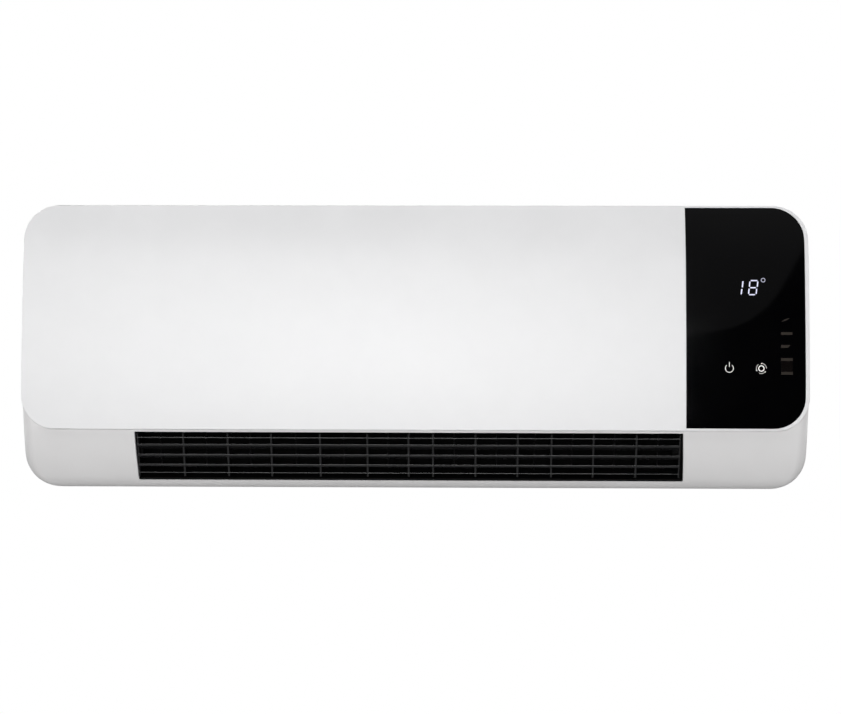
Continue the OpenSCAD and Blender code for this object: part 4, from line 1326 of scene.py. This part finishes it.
@dataclass(frozen=True)
class SoftenedPart:
    """A node of the frame whose copy gets rounded edges, as every moulding has."""

    node: str
    name: str
    body: str
    slot: str
    finish: Finish
    radius: float
    segments: int = 2
    angle: float = 40.0
    flat: float = 0.6

    def build(self) -> None:
        """Merges a copy of the node, rounds its edges with a modifier and dresses it."""
        bm = bmesh.new()
        bm.from_mesh(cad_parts[self.node].data)
        bmesh.ops.remove_doubles(bm, verts=bm.verts, dist=2e-6)
        bmesh.ops.dissolve_limit(bm, angle_limit=math.radians(self.flat), verts=bm.verts,
                                 edges=bm.edges)
        bmesh.ops.scale(bm, vec=(1 / MM, 1 / MM, 1 / MM), verts=bm.verts)
        piece = settle(bm, self.name, self.finish, self.body, [self.node], self.angle)
        edges = piece.modifiers.new("rounded_edges", "BEVEL")
        edges.width = self.radius * MM
        edges.segments = self.segments
        edges.limit_method = "ANGLE"
        edges.angle_limit = math.radians(self.angle)
        edges.use_clamp_overlap = True
        edges.harden_normals = False
        piece.modifiers.move(1, 0)


SOFTENED = (
    SoftenedPart("rear_cover", "rear_cover_moulding", "casing", "white_satin", HOUSING_ABS, 0.5),
    SoftenedPart("inlet_grille", "inlet_grille_moulding", "casing", "white_satin", HOUSING_ABS,
                 0.35),
    SoftenedPart("switch_body", "switch_case", "casing", "black_plastic", COMPONENT, 0.4),
    SoftenedPart("switch_rocker", "switch_rocker_cap", "rocker", "rocker_red", ROCKER_RED, 0.5, 3,
                 30.0),
    SoftenedPart("lead_bush", "lead_bush_rubber", "casing", "rubber", RUBBER, 0.5),
)


# ---------------------------------------------------------------- studio

@dataclass(frozen=True)
class SoftLight:
    """One rectangular soft light; radiance is what a mirror would show of it."""

    name: str
    place: tuple[float, float, float]
    radiance: float
    size: Pair = (0.75, 0.6)
    target: tuple[float, float, float] = (0.0, -0.1, 0.0)

    def build(self) -> None:
        """Builds the light and turns it to its target."""
        data = bpy.data.lights.new(self.name, "AREA")
        data.shape = "RECTANGLE"
        data.size, data.size_y = self.size
        data.energy = self.radiance * math.pi * self.size[0] * self.size[1]
        lamp = bpy.data.objects.new(self.name, data)
        lamp.location = self.place
        way = Vector(self.target) - Vector(self.place)
        lamp.rotation_euler = way.to_track_quat("-Z", "Y").to_euler()
        lamp.visible_camera = False
        bpy.context.scene.collection.objects.link(lamp)
        LOG.info("light %s", self.name)


LIGHTS = (
    SoftLight("front_left", (-0.62, -3.2, 0.2), 11.2),
    SoftLight("front_right", (0.13, -3.2, 0.2), 16.1),
    SoftLight("front_high_left", (-0.62, -3.2, 0.8), 6.6),
    SoftLight("front_high_right", (0.13, -3.2, 0.8), 4.9),
    SoftLight("overhead", (0.0, -1.6, 2.35), 2.5, (3.2, 1.0)),
    SoftLight("left_behind", (-1.2, 0.3, 0.15), 2.6, (0.8, 0.8), (0.0, -0.05, 0.0)),
    SoftLight("right_behind", (1.2, 0.3, 0.15), 2.6, (0.8, 0.8), (0.0, -0.05, 0.0)),
    SoftLight("behind", (0.0, 1.3, 0.45), 3.2, (1.3, 0.8), (0.0, 0.0, 0.0)),
    SoftLight("above", (0.0, 0.1, 1.3), 1.6, (1.0, 0.6), (0.0, -0.02, 0.0)),
)


@dataclass
class Studio:
    """Pale floor, white surroundings, a dim card for the black panel, soft lights and the camera.

    Sizes are in metres and angles in degrees. card_edge draws the card's lower edge as (x, z).
    """

    floor_z: float = -1.0
    floor_half: float = 2.4
    floor_glow: float = 0.65
    room_dim: float = 0.006
    camera_at: tuple[float, float, float] = (0.030, -1.518, 0.0005)
    yaw: float = 1.05
    pitch: float = -0.29
    roll: float = -0.15
    focal_px: float = 2028.0
    card_y: float = -3.4
    card_top: float = 2.75
    card_over: float = 0.05
    card_columns: int = 60
    card_glow: Pair = (0.083, 0.19)
    card_edge: tuple[Pair, ...] = (
        (0.30, 0.455), (0.52, 0.456), (0.56, 0.462), (0.604, 0.477), (0.667, 0.512),
        (0.71, 0.566), (0.754, 0.661), (0.785, 0.768), (0.833, 0.980), (0.867, 1.281),
        (0.985, 2.33))

    def card_low(self, x: float) -> float:
        """Gives the height of the dim card's lower edge.

        Args:
            x: the place along the card.
        Returns:
            The height there.
        """
        for (x0, z0), (x1, z1) in zip(self.card_edge, self.card_edge[1:]):
            if x <= x1:
                return z0 + (z1 - z0) * max(0.0, x - x0) / (x1 - x0)
        return self.card_edge[-1][1]

    def floor(self) -> None:
        """Lays a plain pale floor well below the object; only the eye sees it glow."""
        bm = bmesh.new()
        bmesh.ops.create_grid(bm, x_segments=1, y_segments=1, size=self.floor_half,
                              matrix=Matrix.Translation((0, 0, self.floor_z)))
        material = FLOOR_PAPER.build()
        tree = material.node_tree
        seen = add_node(tree, "ShaderNodeLightPath").outputs["Is Camera Ray"]
        glow = add_node(tree, "ShaderNodeMapRange", {"To Max": self.floor_glow}, {"Value": seen})
        wire(tree, tree.nodes["Principled BSDF"], {"Emission Color": linear("f4f4f4")},
             {"Emission Strength": glow.outputs[0]})
        as_object(bm, "floor", material)

    def dim_card(self) -> None:
        """Hangs the card that the black panel mirrors: its lower edge sweeps up to the right."""
        (left, low), *_, (right, _) = self.card_edge
        bm = bmesh.new()
        flat_panel(bm, ((left + right) / 2, self.card_top), (right - left, 1),
                   columns=self.card_columns)
        for v in bm.verts:
            below = v.co.z < self.card_top
            v.co.z = self.card_low(v.co.x) if below else self.card_top + self.card_over
            v.co.y = self.card_y
        material, tree, shader = new_material("dim_card_light")
        place = add_node(tree, "ShaderNodeTexCoord").outputs["Object"]
        height = add_node(tree, "ShaderNodeSeparateXYZ", links={"Vector": place}).outputs["Z"]
        glow = add_node(tree, "ShaderNodeMapRange",
                        {"From Min": low, "From Max": self.card_top, "To Min": self.card_glow[0],
                         "To Max": self.card_glow[1]}, {"Value": height})
        wire(tree, shader, {"Base Color": linear("000000"), "Specular IOR Level": 0.0,
                            "Emission Color": linear("ffffff")},
             {"Emission Strength": glow.outputs[0]})
        card = as_object(bm, "dim_card", material)
        card.visible_camera = False
        card.visible_shadow = False

    def surroundings(self) -> None:
        """Makes the surroundings white to the eye and nearly dark to the object's gloss."""
        world = bpy.data.worlds.new("white_room")
        world.use_nodes = True
        tree = world.node_tree
        tree.nodes.clear()
        seen = add_node(tree, "ShaderNodeLightPath").outputs["Is Camera Ray"]
        strength = add_node(tree, "ShaderNodeMapRange", {"To Min": self.room_dim, "To Max": 1.0},
                            {"Value": seen})
        background = add_node(tree, "ShaderNodeBackground", {"Color": linear("ffffff")},
                              {"Strength": strength.outputs[0]})
        add_node(tree, "ShaderNodeOutputWorld", links={"Surface": background.outputs[0]})
        bpy.context.scene.world = world

    def camera(self) -> None:
        """Sets the camera up at the photograph's viewing angle."""
        data = bpy.data.cameras.new("camera")
        data.sensor_width = SENSOR_MM
        data.lens = self.focal_px * SENSOR_MM / PHOTO_WIDTH
        camera = bpy.data.objects.new("camera", data)
        turn = (Matrix.Rotation(math.radians(self.yaw), 4, "Z")
                @ Matrix.Rotation(math.radians(self.pitch), 4, "X")
                @ Matrix.Rotation(math.radians(self.roll), 4, "Y")
                @ Matrix.Rotation(QUARTER, 4, "X"))
        camera.matrix_world = Matrix.Translation(self.camera_at) @ turn
        bpy.context.scene.collection.objects.link(camera)
        bpy.context.scene.camera = camera

    def build(self) -> None:
        """Builds the whole studio."""
        bpy.context.scene.view_settings.view_transform = "Standard"
        self.floor()
        self.dim_card()
        self.surroundings()
        for light in LIGHTS:
            light.build()
        self.camera()


def dress_frame() -> None:
    """Gives each carried-over node of the frame its finish."""
    for node, finish in CARRIED.items():
        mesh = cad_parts[node].data
        mesh.materials.clear()
        mesh.materials.append(SHELF.get(finish))
        LOG.info("%s carried over in %s", node, finish.name)


def main() -> None:
    """Builds the studio and every sub-assembly in order."""
    logging.basicConfig(level=logging.INFO, format="%(message)s")
    curve = FrontCurve()
    Studio().build()
    dress_frame()
    for assembly in (FrontHousing(curve), FrontPlate(curve), PanelMarks(curve), Louver(),
                     OutletMouth(), *SOFTENED):
        assembly.build()


if __name__ == "__main__":
    main()
